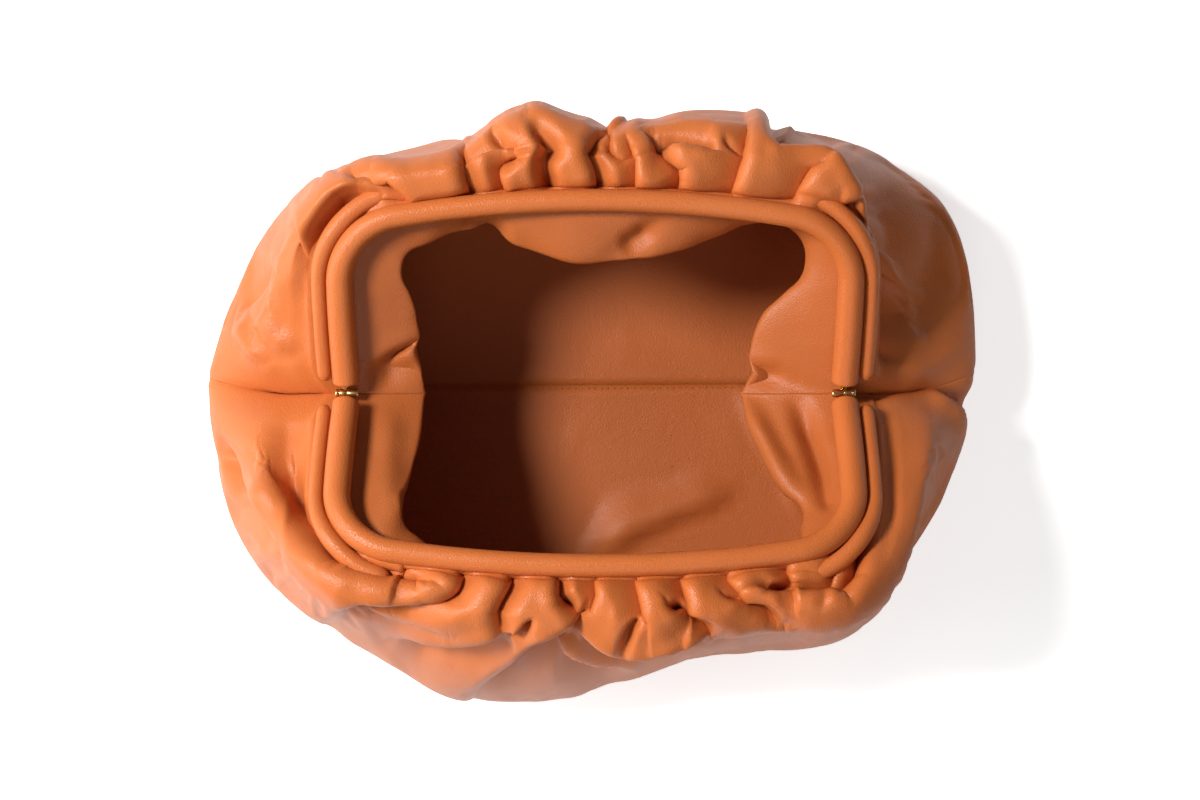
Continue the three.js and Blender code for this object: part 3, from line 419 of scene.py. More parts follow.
def frame_line(bag, distance):
    """The frame's centreline in the plane of a half: across, out from the hinges, the way that
    points outwards there, and the distance from the nearer hinge."""
    distance = np.asarray(distance, float)
    on_left = distance < bag.frame_length / 2
    along = np.where(on_left, distance, bag.frame_length - distance)
    mirror = np.where(on_left, -1.0, 1.0)
    flare = (bag.frame_width - bag.hinge_span) / 2
    quarter = np.pi / 2 * np.minimum(along / bag.leg_length, 1)
    slope = flare * np.pi / 2 / bag.leg_length * np.cos(quarter)
    on_corner = along >= bag.leg_length
    on_bar = along >= bag.bar_start
    turn = np.where(on_bar, bag.corner_sweep + (along - bag.bar_start) / bag.bar_bow_radius,
                    np.maximum(along - bag.leg_length, 0) / bag.corner_radius)
    normal_x = np.where(on_corner, np.cos(turn), 1 / np.hypot(1, slope))
    normal_y = np.where(on_corner, np.sin(turn), -slope / np.hypot(1, slope))
    radius = np.where(on_bar, bag.bar_bow_radius, bag.corner_radius)
    centre_x = np.where(on_bar, 0, bag.corner_across)
    centre_y = np.where(on_bar, bag.bar_centre, bag.leg_length)
    across = np.where(on_corner, centre_x + radius * normal_x, bag.hinge_span / 2 + flare * np.sin(quarter))
    out = np.where(on_corner, centre_y + radius * normal_y, along)
    return mirror * across, out, mirror * normal_x, normal_y, along


def tube_radius(bag, along):
    """The covered tube's radius: fuller at the legs than along the bar."""
    blend = smooth(along, bag.leg_length * 0.7, bag.bar_start + bag.corner_length / 2)
    return mix(bag.leg_radius, bag.bar_radius, blend)


def in_half(bag, side, across, out, under):
    """A point of one half of the frame, turned about the hinge line."""
    tilt = bag.tilt[side.name]
    return np.stack([across,
                     side.way * (out * np.cos(tilt) + under * np.sin(tilt)),
                     bag.hinge_height + out * np.sin(tilt) - under * np.cos(tilt)], axis=-1)


def beside_tube(bag, side, distance, outwards, lower):
    """A point clear of the tube's underside, so far outwards of its centreline and so much lower."""
    across, out, normal_x, normal_y, along = frame_line(bag, distance)
    under = tube_radius(bag, along) + CLEARANCE + lower
    return in_half(bag, side, across + normal_x * outwards, out + normal_y * outwards, under)


def way_out(bag, side, at):
    """The level way out from the frame."""
    normal_x, normal_y = frame_line(bag, at * bag.frame_length)[2:4]
    return unit(np.stack([normal_x, side.way * np.maximum(normal_y, 0), np.zeros_like(normal_x)], axis=-1))


def edge_offset(bag, along):
    """How far outside the tube's centreline the leather's edge lies."""
    beside = tube_radius(bag, along) + CLEARANCE + bag.leather / 2
    past = beside + 2 * bag.welt + 2 * CLEARANCE + WELT_FLARE
    return mix(past, beside, smooth(along, bag.welt_end + 2 * bag.welt, bag.bar_start + 4 * bag.welt))


def panel_edge(bag, side, at):
    """Where an outer panel starts beside the frame, brought in to the hinge at both ends."""
    along = frame_line(bag, at * bag.frame_length)[4]
    edge = beside_tube(bag, side, at * bag.frame_length, edge_offset(bag, along), 0)
    hinge = np.stack([np.sign(edge[..., 0]) * (bag.hinge_span / 2 + bag.leg_radius),
                      np.zeros_like(along),
                      np.full_like(along, bag.hinge_height - 2 * bag.leg_radius)], axis=-1)
    return mix(hinge, edge, smooth(along, 0, 2 * bag.leg_radius)[..., None])


def seam_point(bag, at, height):
    """A point of the seam along the base."""
    back = mix(LEFT_SEAM.deep, RIGHT_SEAM.deep, at) * 0.25 * bag.body_depth
    return np.stack([(at - 0.5) * bag.base_seam, back, np.full_like(at, height)], axis=-1)


def widest_point(bag, side, at):
    """Where a section of the body is widest."""
    return np.stack([eased(side.sections, "long", at) * bag.body_length / 2,
                     eased(side.sections, "deep", at) * bag.body_depth / 2,
                     eased(side.sections, "high", at) * bag.hinge_height], axis=-1)


def panel_section(bag, side, at):
    """The points that each section of the outer leather passes through, from frame to base seam."""
    edge = panel_edge(bag, side, at)
    out = way_out(bag, side, at)
    reach = eased(side.sections, "reach", at) * bag.gather_reach

    def over(share, column):
        point = edge + out * (reach * share)[..., None]
        point[..., 2] = edge[..., 2] + eased(side.sections, column, at) * bag.gather_rise
        return point

    widest = widest_point(bag, side, at)
    seam = seam_point(bag, at, bag.leather / 2)
    foot = mix(seam, widest, eased(side.sections, "foot", at)[..., None])
    foot[..., 2] = bag.leather / 2
    return np.stack([edge, over(LIP_OUT, "lip"), over(CROWN_OUT, "crown"), over(1, "brow"),
                     widest, foot, seam])


def lining_section(bag, side, at):
    """The points that each section of the lining passes through, from frame to base seam."""
    along = frame_line(bag, at * bag.frame_length)[4]
    radius = tube_radius(bag, along)
    below = radius + CLEARANCE + bag.lining / 2
    tube = beside_tube(bag, side, at * bag.frame_length, -radius / 2, below)
    hinge = tube.copy()
    hinge[..., 1] = 0
    hinge[..., 2] = bag.hinge_height - bag.leg_radius - below
    edge = mix(hinge, tube, smooth(along, 0, 2 * bag.leg_radius)[..., None])
    inset = eased(side.lining, "inset", at) * bag.lining_hang
    inwards = unit(sum(way_out(bag, side, np.clip(at + beside, 0, 1)) for beside in CORNER_SPREAD))
    swelling = edge - inwards * inset[..., None]
    swelling[..., 2] = edge[..., 2] - eased(side.lining, "sag", at) * bag.hinge_height
    widest = widest_point(bag, side, at)
    seam = seam_point(bag, at, bag.lining_floor)
    seam[..., 0] *= 1 - 2 * LINING_INSET / bag.base_seam
    level = seam - widest
    level[..., 2] = 0
    wall = widest + unit(level) * LINING_INSET
    wall[..., 2] = widest[..., 2] * 0.9
    foot = mix(seam, wall, eased(side.sections, "foot", at)[..., None])
    foot[..., 2] = bag.lining_floor
    return np.stack([edge, swelling, wall, foot, seam])


def curve_through(stops, turn):
    """Points on smooth curves through stops, where turn counts the stops passed. The curves are
    centripetal Catmull-Rom splines."""
    last = len(stops) - 1
    before = 2 * stops[:1] - stops[1:2]
    after = 2 * stops[-1:] - stops[-2:-1]
    padded = np.concatenate([before, stops, after])
    i = np.clip(np.floor(turn).astype(int), 0, last - 1)
    w = (turn - i)[..., None]
    grid = np.indices(turn.shape)

    def stop(offset):
        return padded[(i + 1 + offset, *grid)]

    p0, p1, p2, p3 = stop(-1), stop(0), stop(1), stop(2)

    def gap(a, b):
        return np.maximum(np.sqrt(np.linalg.norm(b - a, axis=-1, keepdims=True)), 1e-4)

    d0, d1, d2 = gap(p0, p1), gap(p1, p2), gap(p2, p3)
    t1 = ((p1 - p0) / d0 - (p2 - p0) / (d0 + d1) + (p2 - p1) / d1) * d1
    t2 = ((p2 - p1) / d1 - (p3 - p1) / (d1 + d2) + (p3 - p2) / d2) * d1
    c2 = -3 * p1 + 3 * p2 - 2 * t1 - t2
    c3 = 2 * p1 - 2 * p2 + t1 + t2
    return p1 + t1 * w + c2 * w**2 + c3 * w**3


def straight_through(stops, turn):
    """Points on straight lines between stops."""
    i = np.clip(np.floor(turn).astype(int), 0, len(stops) - 2)
    grid = np.indices(turn.shape)
    return mix(stops[(i, *grid)], stops[(i + 1, *grid)], (turn - i)[..., None])


def grid_normals(points):
    """Directions square to a grid of points."""
    along = np.gradient(points, axis=1)
    down = np.gradient(points, axis=0)
    return unit(np.cross(along, down))


def seen_at(bag, points):
    """Places in the picture, and its scale there."""
    scale = FOCAL / (bag.camera_height + bag.hinge_height - points[..., 2])
    x = PICTURE_MIDDLE[0] + (points[..., 0] - VIEW_FROM[0]) * scale
    y = PICTURE_MIDDLE[1] - (points[..., 1] - VIEW_FROM[1]) * scale
    return x, y, scale


def nearest_on_line(line, x, y):
    """For each place: the distance to a line, which hand it is on, the share of the line passed, and
    the way to the line."""
    corners = np.array(line, float)
    steps = np.diff(corners, axis=0)
    lengths = np.hypot(steps[:, 0], steps[:, 1])
    starts = np.concatenate([[0], np.cumsum(lengths)])
    best = np.full(x.shape, 1e9)
    hand = np.ones_like(best)
    share = np.zeros_like(best)
    to_x = np.zeros_like(best)
    to_y = np.zeros_like(best)
    for k, (corner, step) in enumerate(zip(corners, steps)):
        rel_x = x - corner[0]
        rel_y = y - corner[1]
        along = np.clip((rel_x * step[0] + rel_y * step[1]) / lengths[k] ** 2, 0, 1)
        off_x = rel_x - along * step[0]
        off_y = rel_y - along * step[1]
        distance = np.hypot(off_x, off_y)
        closer = distance < best
        best = np.where(closer, distance, best)
        hand = np.where(closer, np.sign(step[0] * rel_y - step[1] * rel_x), hand)
        share = np.where(closer, (starts[k] + along * lengths[k]) / starts[-1], share)
        to_x = np.where(closer, -off_x, to_x)
        to_y = np.where(closer, -off_y, to_y)
    away = np.maximum(best, 1e-6)
    return best, hand, share, to_x / away, to_y / away


def fold_in(bag, points, normals, folds, strength):
    """Presses the folds into a sheet, and lets their upper edges hang over."""
    x, y, scale = seen_at(bag, points)
    cuts = np.zeros_like(x)
    ridges = np.zeros_like(x)
    shift = np.zeros_like(points)
    for fold in folds:
        distance, hand, share, to_x, to_y = nearest_on_line(fold.line, x, y)
        taper = np.minimum(mix(fold.start, 1, smooth(share, 0, 0.3)),
                           mix(fold.end, 1, smooth(1 - share, 0, 0.35)))
        upper = hand * fold.over >= 0 if fold.over else np.ones_like(hand, bool)
        ratio = distance / (fold.roll * ROLL_SHARE)
        curl = np.exp(-(ratio**2))
        crest = CREST * np.exp(-(((ratio - CREST_AT) / CREST_WIDTH) ** 2))
        rise = np.clip(1 - distance / (2 * fold.slope), 0, 1) ** 1.7 if fold.over else curl
        cut = FOLD_DEPTH * fold.deep * taper * np.where(upper, curl, rise)
        cuts = cuts + np.maximum(cut, 0) ** 3
        ridges = ridges + np.maximum(-cut, 0)
        if fold.over:
            ridges = ridges + np.where(upper, fold.deep * taper * crest, 0)
        swing = ratio / HANG_WIDTH * np.exp(0.5 - 0.5 * (ratio / HANG_WIDTH) ** 2)
        hang = FOLD_HANG * fold.lip * taper * strength * swing
        hang = np.where(upper & (fold.over != 0), hang, 0) / scale
        shift[..., 0] += to_x * hang
        shift[..., 1] -= to_y * hang
    depth = DEEPEST * np.tanh(np.cbrt(cuts) / DEEPEST) - ridges
    return points - normals * (depth * strength)[..., None] + shift


def creased(points, size, depth, seed, stretch=(1, 1, 1)):
    """Soft unevenness for each point, between plus and minus depth."""
    flat = points.reshape(-1, 3) / size * np.array(stretch)
    offset = Vector((seed * 17.3, seed * 5.1, seed * 9.7))
    values = [noise.noise(Vector(p) + offset) for p in flat]
    return depth * np.array(values).reshape(points.shape[:-1])


def relaxed(points, rounds):
    """Evens out a grid of points."""
    for _ in range(rounds):
        middle = (points[2:, 1:-1] + points[:-2, 1:-1] + points[1:-1, 2:] + points[1:-1, :-2]) / 4
        points[1:-1, 1:-1] = mix(points[1:-1, 1:-1], middle, 0.5)
    return points


def laid_sheet(columns, rows, shape):
    """A grid of cells whose points shape(u, v) puts in place; it takes and gives whole grids."""
    bm = bmesh.new()
    bm.loops.layers.uv.new("UVMap")
    bmesh.ops.create_grid(bm, x_segments=columns, y_segments=rows, size=0.5, calc_uvs=True)
    flat = np.array([v.co[:] for v in bm.verts])
    order = np.lexsort((flat[:, 0].round(6), flat[:, 1].round(6)))
    grid = order.reshape(-1, columns + 1)
    places = flat[grid] + 0.5
    points = shape(places[..., 0], places[..., 1])
    laid = points * MM + np.array(UNDER_HINGE)
    bm.verts.ensure_lookup_table()
    for index, point in zip(grid.ravel(), laid.reshape(-1, 3)):
        bm.verts[index].co = point
    return bm


def finish_piece(context, name, bm, material, nodes):
    """Makes the object, says what it rides on, and hides the parts that it stands for."""
    mesh = bpy.data.meshes.new(name)
    bm.normal_update()
    bm.to_mesh(mesh)
    bm.free()
    for polygon in mesh.polygons:
        polygon.use_smooth = True
    piece = bpy.data.objects.new(name, mesh)
    context.scene.collection.objects.link(piece)
    mesh.materials.append(material)
    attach(piece, "root")
    if nodes:
        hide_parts(*nodes)
    return piece


def spread_rows(v, shares):
    """The stops passed at each v, with each stretch given its share of the rows."""
    passed = np.concatenate([[0], np.cumsum(shares) / np.sum(shares)])
    return np.interp(v, passed, np.arange(len(passed)))


def spread_columns(u):
    """The place along the frame at each u, with more columns along the bar."""
    side = (1 - BAR_SHARE) / 2
    return np.interp(u, [0, side, 1 - side, 1], [0, BAR_FROM, 1 - BAR_FROM, 1])


def outer_shape(bag, side):
    """Where the outer leather of one side goes."""

    def shape(u, v):
        at = spread_columns(u)
        from_end = np.minimum(at, 1 - at)
        turn = spread_rows(v, ROW_SHARES)
        points = curve_through(panel_section(bag, side, at), turn)

        # The first rows run in under the tube and the welts, and the lip leans onto the tube.
        along = frame_line(bag, at * bag.frame_length)[4]
        under = 1 - smooth(turn, 0, 0.45)
        on_bar = smooth(along, bag.welt_end, bag.bar_start)
        beside_leg = 2.2 * bag.welt + 3
        beside_bar = edge_offset(bag, along) - tube_radius(bag, along) * 0.3
        inwards = mix(beside_leg, beside_bar, on_bar) * under
        inwards = inwards + LIP_DRAWN_IN * on_bar * smooth(turn, 0.15, 0.5) * (1 - smooth(turn, 1, 2))
        points = points - way_out(bag, side, at) * inwards[..., None]
        points[..., 2] -= 1.3 * bag.welt * (1 - on_bar) * under * smooth(along, 0, 2 * bag.leg_radius)

        # Folds go straight down at the lip, and square to the leather below it.
        normals = grid_normals(points)
        middle = normals[points.shape[0] // 2, points.shape[1] // 2]
        if middle[1] * side.way < 0:
            normals = -normals
        normals = unit(mix(np.array([0, 0, 1.0]), normals, smooth(turn, 0.6, 2)[..., None]))
        low_fade = 1 - smooth(turn, 3.6, 4.4)
        rim_fade = mix(0.2, 1, smooth(turn, 0.1, 0.5))
        joined = smooth(from_end, 0, 0.02)
        points = fold_in(bag, points, normals, side.folds, low_fade * rim_fade * joined)

        # Soft unevenness: two sizes on the body, and a small one on the gathers.
        edge_fade = smooth(from_end, 0, 0.05)
        body = smooth(turn, 1.5, 3) * (1 - smooth(turn, 4.2, 4.9)) * edge_fade
        hang = (creased(points, 38, 1.5, 1 + side.way, (1, 1, 0.35))
                + creased(points, 16, 0.3, 3 + side.way, (1, 1, 0.5)))
        points = points + normals * (hang * body)[..., None]
        upper = smooth(turn, 0.6, 1.2) * (1 - smooth(turn, 3, 4)) * edge_fade
        points = points + normals * (creased(points, 9, 0.25, 7 + side.way) * upper)[..., None]
        points = relaxed(points, 2)

        # The seams at both ends draw in, and nothing goes through the floor.
        seam = np.exp(-(from_end * bag.frame_length / SEAM_WIDTH) ** 2) * smooth(turn, 0.5, 1.5)
        points = points - normals * (seam * SEAM_DEPTH * (1 - smooth(turn, 4, 5)))[..., None]
        points[..., 2] = np.maximum(points[..., 2], bag.leather / 2)
        return points

    return shape


def lining_shape(bag, side):
    """Where the lining of one side goes."""

    def shape(u, v):
        at = spread_columns(u)
        from_end = np.minimum(at, 1 - at)
        turn = spread_rows(v, LINING_ROW_SHARES)
        stops = lining_section(bag, side, at)
        points = mix(curve_through(stops, turn), straight_through(stops, turn), CRISP)

        # At the hinges the edge runs out under the tube's end.
        along = frame_line(bag, at * bag.frame_length)[4]
        outwards = bag.leg_radius * (1 - smooth(along, 0, 3 * bag.leg_radius)) * (1 - smooth(turn, 0, 0.5))
        points = points + way_out(bag, side, at) * outwards[..., None]
        points[..., 2] += LINING_LIFT * (1 - smooth(turn, 0.9, 1.8))

        normals = grid_normals(points)
        middle = normals[-1, points.shape[1] // 2]
        if middle[2] < 0:
            normals = -normals
        shown = mix(0.2, 1, smooth(turn, 0, 0.5)) * smooth(from_end, 0, 0.02)
        points = fold_in(bag, points, normals, LINING_FOLDS, shown * (1 - 0.5 * smooth(turn, 3.8, 4)))
        soft = creased(points, 30, 2.2, 11 + side.way) + creased(points, 12, 0.6, 13 + side.way)
        fade = smooth(turn, 0, 1) * (1 - smooth(turn, 3.7, 4)) * smooth(from_end, 0, 0.05)
        points = points + normals * (soft * fade)[..., None]
        points = relaxed(points, 3)
        points[..., 2] = np.maximum(points[..., 2], bag.lining_floor)
        return points

    return shape


def rod_shape(bag, side, distances, radius, outwards, lower):
    """Where a rod goes that follows the frame. distances is a function of the share of the rod
    passed; radius, outwards and lower are functions of that and of the distance from the hinge."""

    def shape(u, v):
        distance = distances(v)
        across, out, normal_x, normal_y, along = frame_line(bag, distance)
        turn = 2 * np.pi * u
        size = radius(v, along)
        beside = outwards(v, along) + size * np.cos(turn)
        under = lower(v, along) - size * np.sin(turn)
        return in_half(bag, side, across + normal_x * beside, out + normal_y * beside, under)

    return shape


def closed_rod(bm):
    """Welds a rod's long seam and its ends."""
    bmesh.ops.remove_doubles(bm, verts=bm.verts, dist=0.00002)
    bmesh.ops.recalc_face_normals(bm, faces=bm.faces)
    return bm


def rounded_ends(v, share):
    """1 along a rod, and round to almost 0 at its ends."""
    near = np.clip(np.minimum(v, 1 - v) / share, 0, 1)
    return np.maximum(np.sqrt(1 - (1 - near) ** 2), 0.0005)


def thicken(piece, thickness):
    """Gives a sheet its wall, half to each side."""
    wall = piece.modifiers.new("Wall", "SOLIDIFY")
    wall.thickness = thickness
    wall.offset = 0


def settle(context, piece, held):
    """Lets a sheet relax as cloth for a few frames where it isn't held. held is 0 to 1 for each
    vertex, and is taken in tenths."""
    group = piece.vertex_groups.new(name="Held")
    levels = np.round(np.clip(held, 0, 1) * 10).astype(int)
    for level in np.unique(levels):
        group.add(np.nonzero(levels == level)[0].tolist(), level / 10, "REPLACE")
    cloth = piece.modifiers.new("Settle", "CLOTH")
    cloth.collision_settings.use_collision = False
    cloth.settings.vertex_group_mass = group.name
    for key, value in CLOTH.items():
        setattr(cloth.settings, key, value)
    cloth.settings.effector_weights.gravity = 0.15
    context.scene.frame_start = 1
    for step in range(1, SETTLE_FRAMES + 1):
        context.scene.frame_set(step)
    settled = piece.evaluated_get(context.evaluated_depsgraph_get()).data
    count = len(piece.data.vertices)
    before = np.empty(count * 3)
    after = np.empty(count * 3)
    piece.data.vertices.foreach_get("co", before)
    settled.vertices.foreach_get("co", after)
    before, after = before.reshape(-1, 3), after.reshape(-1, 3)
    move = after - before
    size = np.maximum(np.linalg.norm(move, axis=1, keepdims=True), 1e-9)
    move *= np.minimum(1, SETTLE_CAP * MM / size)
    piece.modifiers.remove(cloth)
    piece.vertex_groups.remove(group)
    piece.data.vertices.foreach_set("co", (before + move).ravel())
    piece.data.update()
    context.scene.frame_set(1)


class LeatherOperator:
    """What the bag's operators share."""

    bl_options = {"REGISTER", "UNDO"}


class BAG_OT_outer_leather(LeatherOperator, bpy.types.Operator):
    """Lay the gathered outer leather of both sides"""

    bl_idname = "bag.outer_leather"
    bl_label = "Outer leather"

    def execute(self, context):
        bag = plan(context)
        for side in (BACK, FRONT):
            bm = laid_sheet(bag.columns, bag.rows, outer_shape(bag, side))
            if side is BACK:
                bmesh.ops.reverse_faces(bm, faces=bm.faces)
            piece = finish_piece(context, f"leather_{side.name}", bm, leather(context),
                                 [f"panel_{side.name}"])
            settle(context, piece, self.held(piece))
            thicken(piece, bag.leather * MM)
        return {"FINISHED"}

    def held(self, piece):
        """1 at a panel's edges, in the gathers and low down, where it stays as it was laid, and 0 in
        between."""
        places = np.array([corner.uv[:] for corner in piece.data.uv_layers[0].data])
        corners = np.array([loop.vertex_index for loop in piece.data.loops])
        u = np.zeros(len(piece.data.vertices))
        v = np.zeros_like(u)
        u[corners], v[corners] = places[:, 0], places[:, 1]
        turn = spread_rows(v, ROW_SHARES)
        at = spread_columns(u)
        free = (smooth(turn, 2, 3.2) * (1 - smooth(turn, 4.2, 4.8))
                * smooth(np.minimum(at, 1 - at), 0.01, 0.09))
        return 1 - free


class BAG_OT_lining(LeatherOperator, bpy.types.Operator):
    """Hang the lining of both sides"""

    bl_idname = "bag.lining"
    bl_label = "Lining"

    def execute(self, context):
        bag = plan(context)
        for side in (BACK, FRONT):
            bm = laid_sheet(*LINING_CELLS, lining_shape(bag, side))
            if side is FRONT:
                bmesh.ops.reverse_faces(bm, faces=bm.faces)
            piece = finish_piece(context, f"inside_{side.name}", bm, lining_leather(context),
                                 [f"lining_{side.name}"])
            thicken(piece, bag.lining * MM)
        return {"FINISHED"}


class BAG_OT_frame(LeatherOperator, bpy.types.Operator):
    """Cover both halves of the frame, and roll the welts beside their legs"""

    bl_idname = "bag.frame"
    bl_label = "Covered frame"

    def execute(self, context):
        bag = plan(context)
        for side in (BACK, FRONT):
            self.tube(context, bag, side)
            for end in ENDS:
                self.welt(context, bag, side, end)
        return {"FINISHED"}

    def tube(self, context, bag, side):
        """The covered tube of one half, from hinge to hinge."""
        start = bag.tube_start
        shape = rod_shape(
            bag, side,
            distances=lambda v: mix(start, bag.frame_length - start, v),
            radius=lambda v, along: tube_radius(bag, along) * rounded_ends(v, 0.003),
            outwards=lambda v, along: np.zeros_like(v),
            lower=lambda v, along: np.zeros_like(v),
        )
        bm = closed_rod(laid_sheet(*TUBE_CELLS, shape))
        finish_piece(context, f"tube_{side.name}", bm, leather(context), [f"frame_{side.name}"])

    def welt(self, context, bag, side, end):
        """The rolled edge outside one leg, which dives under the leather at the frame's corner."""
        start = 0.9 * bag.leg_radius
        stop = bag.welt_end + 0.5 * bag.corner_length

        def distances(v):
            along = mix(start, stop, v)
            return along if end == "left" else bag.frame_length - along

        def size(v, along):
            flare = WELT_FLARE * 0.5 * smooth(along, bag.leg_length, bag.welt_end)
            return (bag.strip + flare) * rounded_ends(v, 0.06)

        shape = rod_shape(
            bag, side, distances, size,
            outwards=lambda v, along: tube_radius(bag, along) + bag.strip,
            lower=lambda v, along: 0.8 * bag.welt + WELT_DIVE * smooth(v, 0.68, 1),
        )
        bm = closed_rod(laid_sheet(*WELT_CELLS, shape))
        finish_piece(context, f"edge_{side.name}_{end}", bm, leather(context),
                     [f"welt_{side.name}_{end}"])


class BAG_OT_stitches(LeatherOperator, bpy.types.Operator):
    """Sew the seam along the inside of the base"""

    bl_idname = "bag.stitches"
    bl_label = "Stitches"

    def execute(self, context):
        bag = plan(context)
        pitch, long, wide, high, beside_seam = 3.4, 2.3, 0.55, 0.4, 1.6
        half = bag.base_seam / 2 - 2 * LINING_INSET
        floor = bag.leather + CLEARANCE + bag.lining
        bm = bmesh.new()
        for x in np.arange(-half, half, pitch):
            at = np.array(x / bag.base_seam + 0.5)
            place = seam_point(bag, at, floor + high * 0.3)
            place[1] -= beside_seam
            made = bmesh.ops.create_icosphere(bm, subdivisions=1, radius=0.5)["verts"]
            bmesh.ops.scale(bm, vec=(long * MM, wide * MM, high * MM), verts=made)
            bmesh.ops.translate(bm, vec=Vector(place) * MM + UNDER_HINGE, verts=made)
        finish_piece(context, "base_stitches", bm, lining_leather(context), [])
        return {"FINISHED"}


# A hinge barrel's outline: places along it from its outer end (0) to its inner (1), and radii in
# shares of the barrel's radius.
BARREL = ((0, 0), (0, 0.55), (0.015, 0.85), (0.05, 1), (0.46, 1), (0.475, 0.78), (0.51, 0.78), (0.525, 1),
          (0.8, 1), (0.812, 0.8), (0.842, 0.8), (0.855, 1), (0.95, 1), (0.985, 0.85), (1, 0.55), (1, 0))


class BAG_OT_hinges(LeatherOperator, bpy.types.Operator):
    """Turn the brass hinges"""

    bl_idname = "bag.hinges"
    bl_label = "Hinges"

    def execute(self, context):
        bag = plan(context)
        for end, way in ENDS.items():
            bm = bmesh.new()
            middle = Vector((way * bag.hinge_span / 2, 0, bag.hinge_height))
            outline = []
            for place, share in BARREL:
                along = -way * bag.barrel_length * (0.5 - place)
                outline.append(bm.verts.new(middle + Vector((along, 0, share * bag.barrel_radius))))
            edges = [bm.edges.new(pair) for pair in zip(outline, outline[1:])]
            bmesh.ops.spin(bm, geom=outline + edges, cent=middle, axis=(1, 0, 0), angle=2 * np.pi, steps=36,
                           use_merge=True)
            bmesh.ops.remove_doubles(bm, verts=bm.verts, dist=0.001)
            sharp = [edge for edge in bm.edges if edge.calc_face_angle(0) > SHARP]
            bmesh.ops.bevel(bm, geom=sharp, offset=ROUNDING, segments=2, profile=0.5, affect="EDGES",
                            material=-1)
            for side in (BACK, FRONT):
                self.leaf(bm, bag, side, middle)
            bmesh.ops.recalc_face_normals(bm, faces=bm.faces)
            bmesh.ops.scale(bm, vec=(MM, MM, MM), verts=bm.verts)
            bmesh.ops.translate(bm, vec=UNDER_HINGE, verts=bm.verts)
            finish_piece(context, f"hinge_{end}", bm, brass(context),
                         [f"knuckle_back_{end}", f"knuckle_front_{end}", f"pin_{end}"])
        return {"FINISHED"}

    def leaf(self, bm, bag, side, middle):
        """The tongue that runs from a barrel into the end of a tube."""
        long, wide, thick, low = 7, 2.6, 0.8, 1.4
        made = bmesh.ops.create_cube(bm, size=1)["verts"]
        bmesh.ops.scale(bm, vec=(wide, long, thick), verts=made)
        bmesh.ops.translate(bm, vec=(0, side.way * long / 2, -low), verts=made)
        turned = Matrix.Rotation(side.way * bag.tilt[side.name], 3, "X")
        bmesh.ops.rotate(bm, cent=(0, 0, 0), matrix=turned, verts=made)
        bmesh.ops.translate(bm, vec=middle, verts=made)


def group_with(name, inputs, outputs):
    """A shader node group with its own input and output nodes, or only the group if it is there
    already."""
    tree = bpy.data.node_groups.get(name)
    if tree:
        return tree, None, None
    tree = bpy.data.node_groups.new(name, "ShaderNodeTree")
    for label, kind, default in inputs:
        socket = tree.interface.new_socket(label, in_out="INPUT", socket_type=kind)
        socket.default_value = default
    for label, kind in outputs:
        tree.interface.new_socket(label, in_out="OUTPUT", socket_type=kind)
    source = tree.nodes.new("NodeGroupInput")
    result = tree.nodes.new("NodeGroupOutput")
    return tree, source, result


def node(tree, kind, settings=None, **inputs):
    """A node with its settings, and its inputs by name."""
    made = tree.nodes.new(kind)
    for key, value in (settings or {}).items():
        setattr(made, key, value)
    for key, value in inputs.items():
        made.inputs[key].default_value = value
    return made


def grain_group():
    """Leather grain and fine creases, as a height."""
    tree, source, result = group_with(
        "Leather grain",
        [("Vector", "NodeSocketVector", (0, 0, 0)), ("Grain size", "NodeSocketFloat", 0.0007),
         ("Creasing", "NodeSocketFloat", 0.5)],
        [("Height", "NodeSocketFloat")])
    if not source:
        return tree
    link = tree.links.new
    scale = node(tree, "ShaderNodeMath", settings={"operation": "DIVIDE"})
    scale.inputs[0].default_value = 1
    link(source.outputs["Grain size"], scale.inputs[1])
    cells = node(tree, "ShaderNodeTexVoronoi", settings={"feature": "SMOOTH_F1"}, Smoothness=0.6)
    link(source.outputs["Vector"], cells.inputs["Vector"])
    link(scale.outputs[0], cells.inputs["Scale"])
    creases = node(tree, "ShaderNodeTexNoise", Scale=95.0, Detail=4.0, Roughness=0.55, Distortion=0.6)
    link(source.outputs["Vector"], creases.inputs["Vector"])
    mixed = node(tree, "ShaderNodeMath", settings={"operation": "MULTIPLY_ADD"})
    link(creases.outputs["Fac"], mixed.inputs[0])
    link(source.outputs["Creasing"], mixed.inputs[1])
    link(cells.outputs["Distance"], mixed.inputs[2])
    link(mixed.outputs[0], result.inputs["Height"])
    return tree


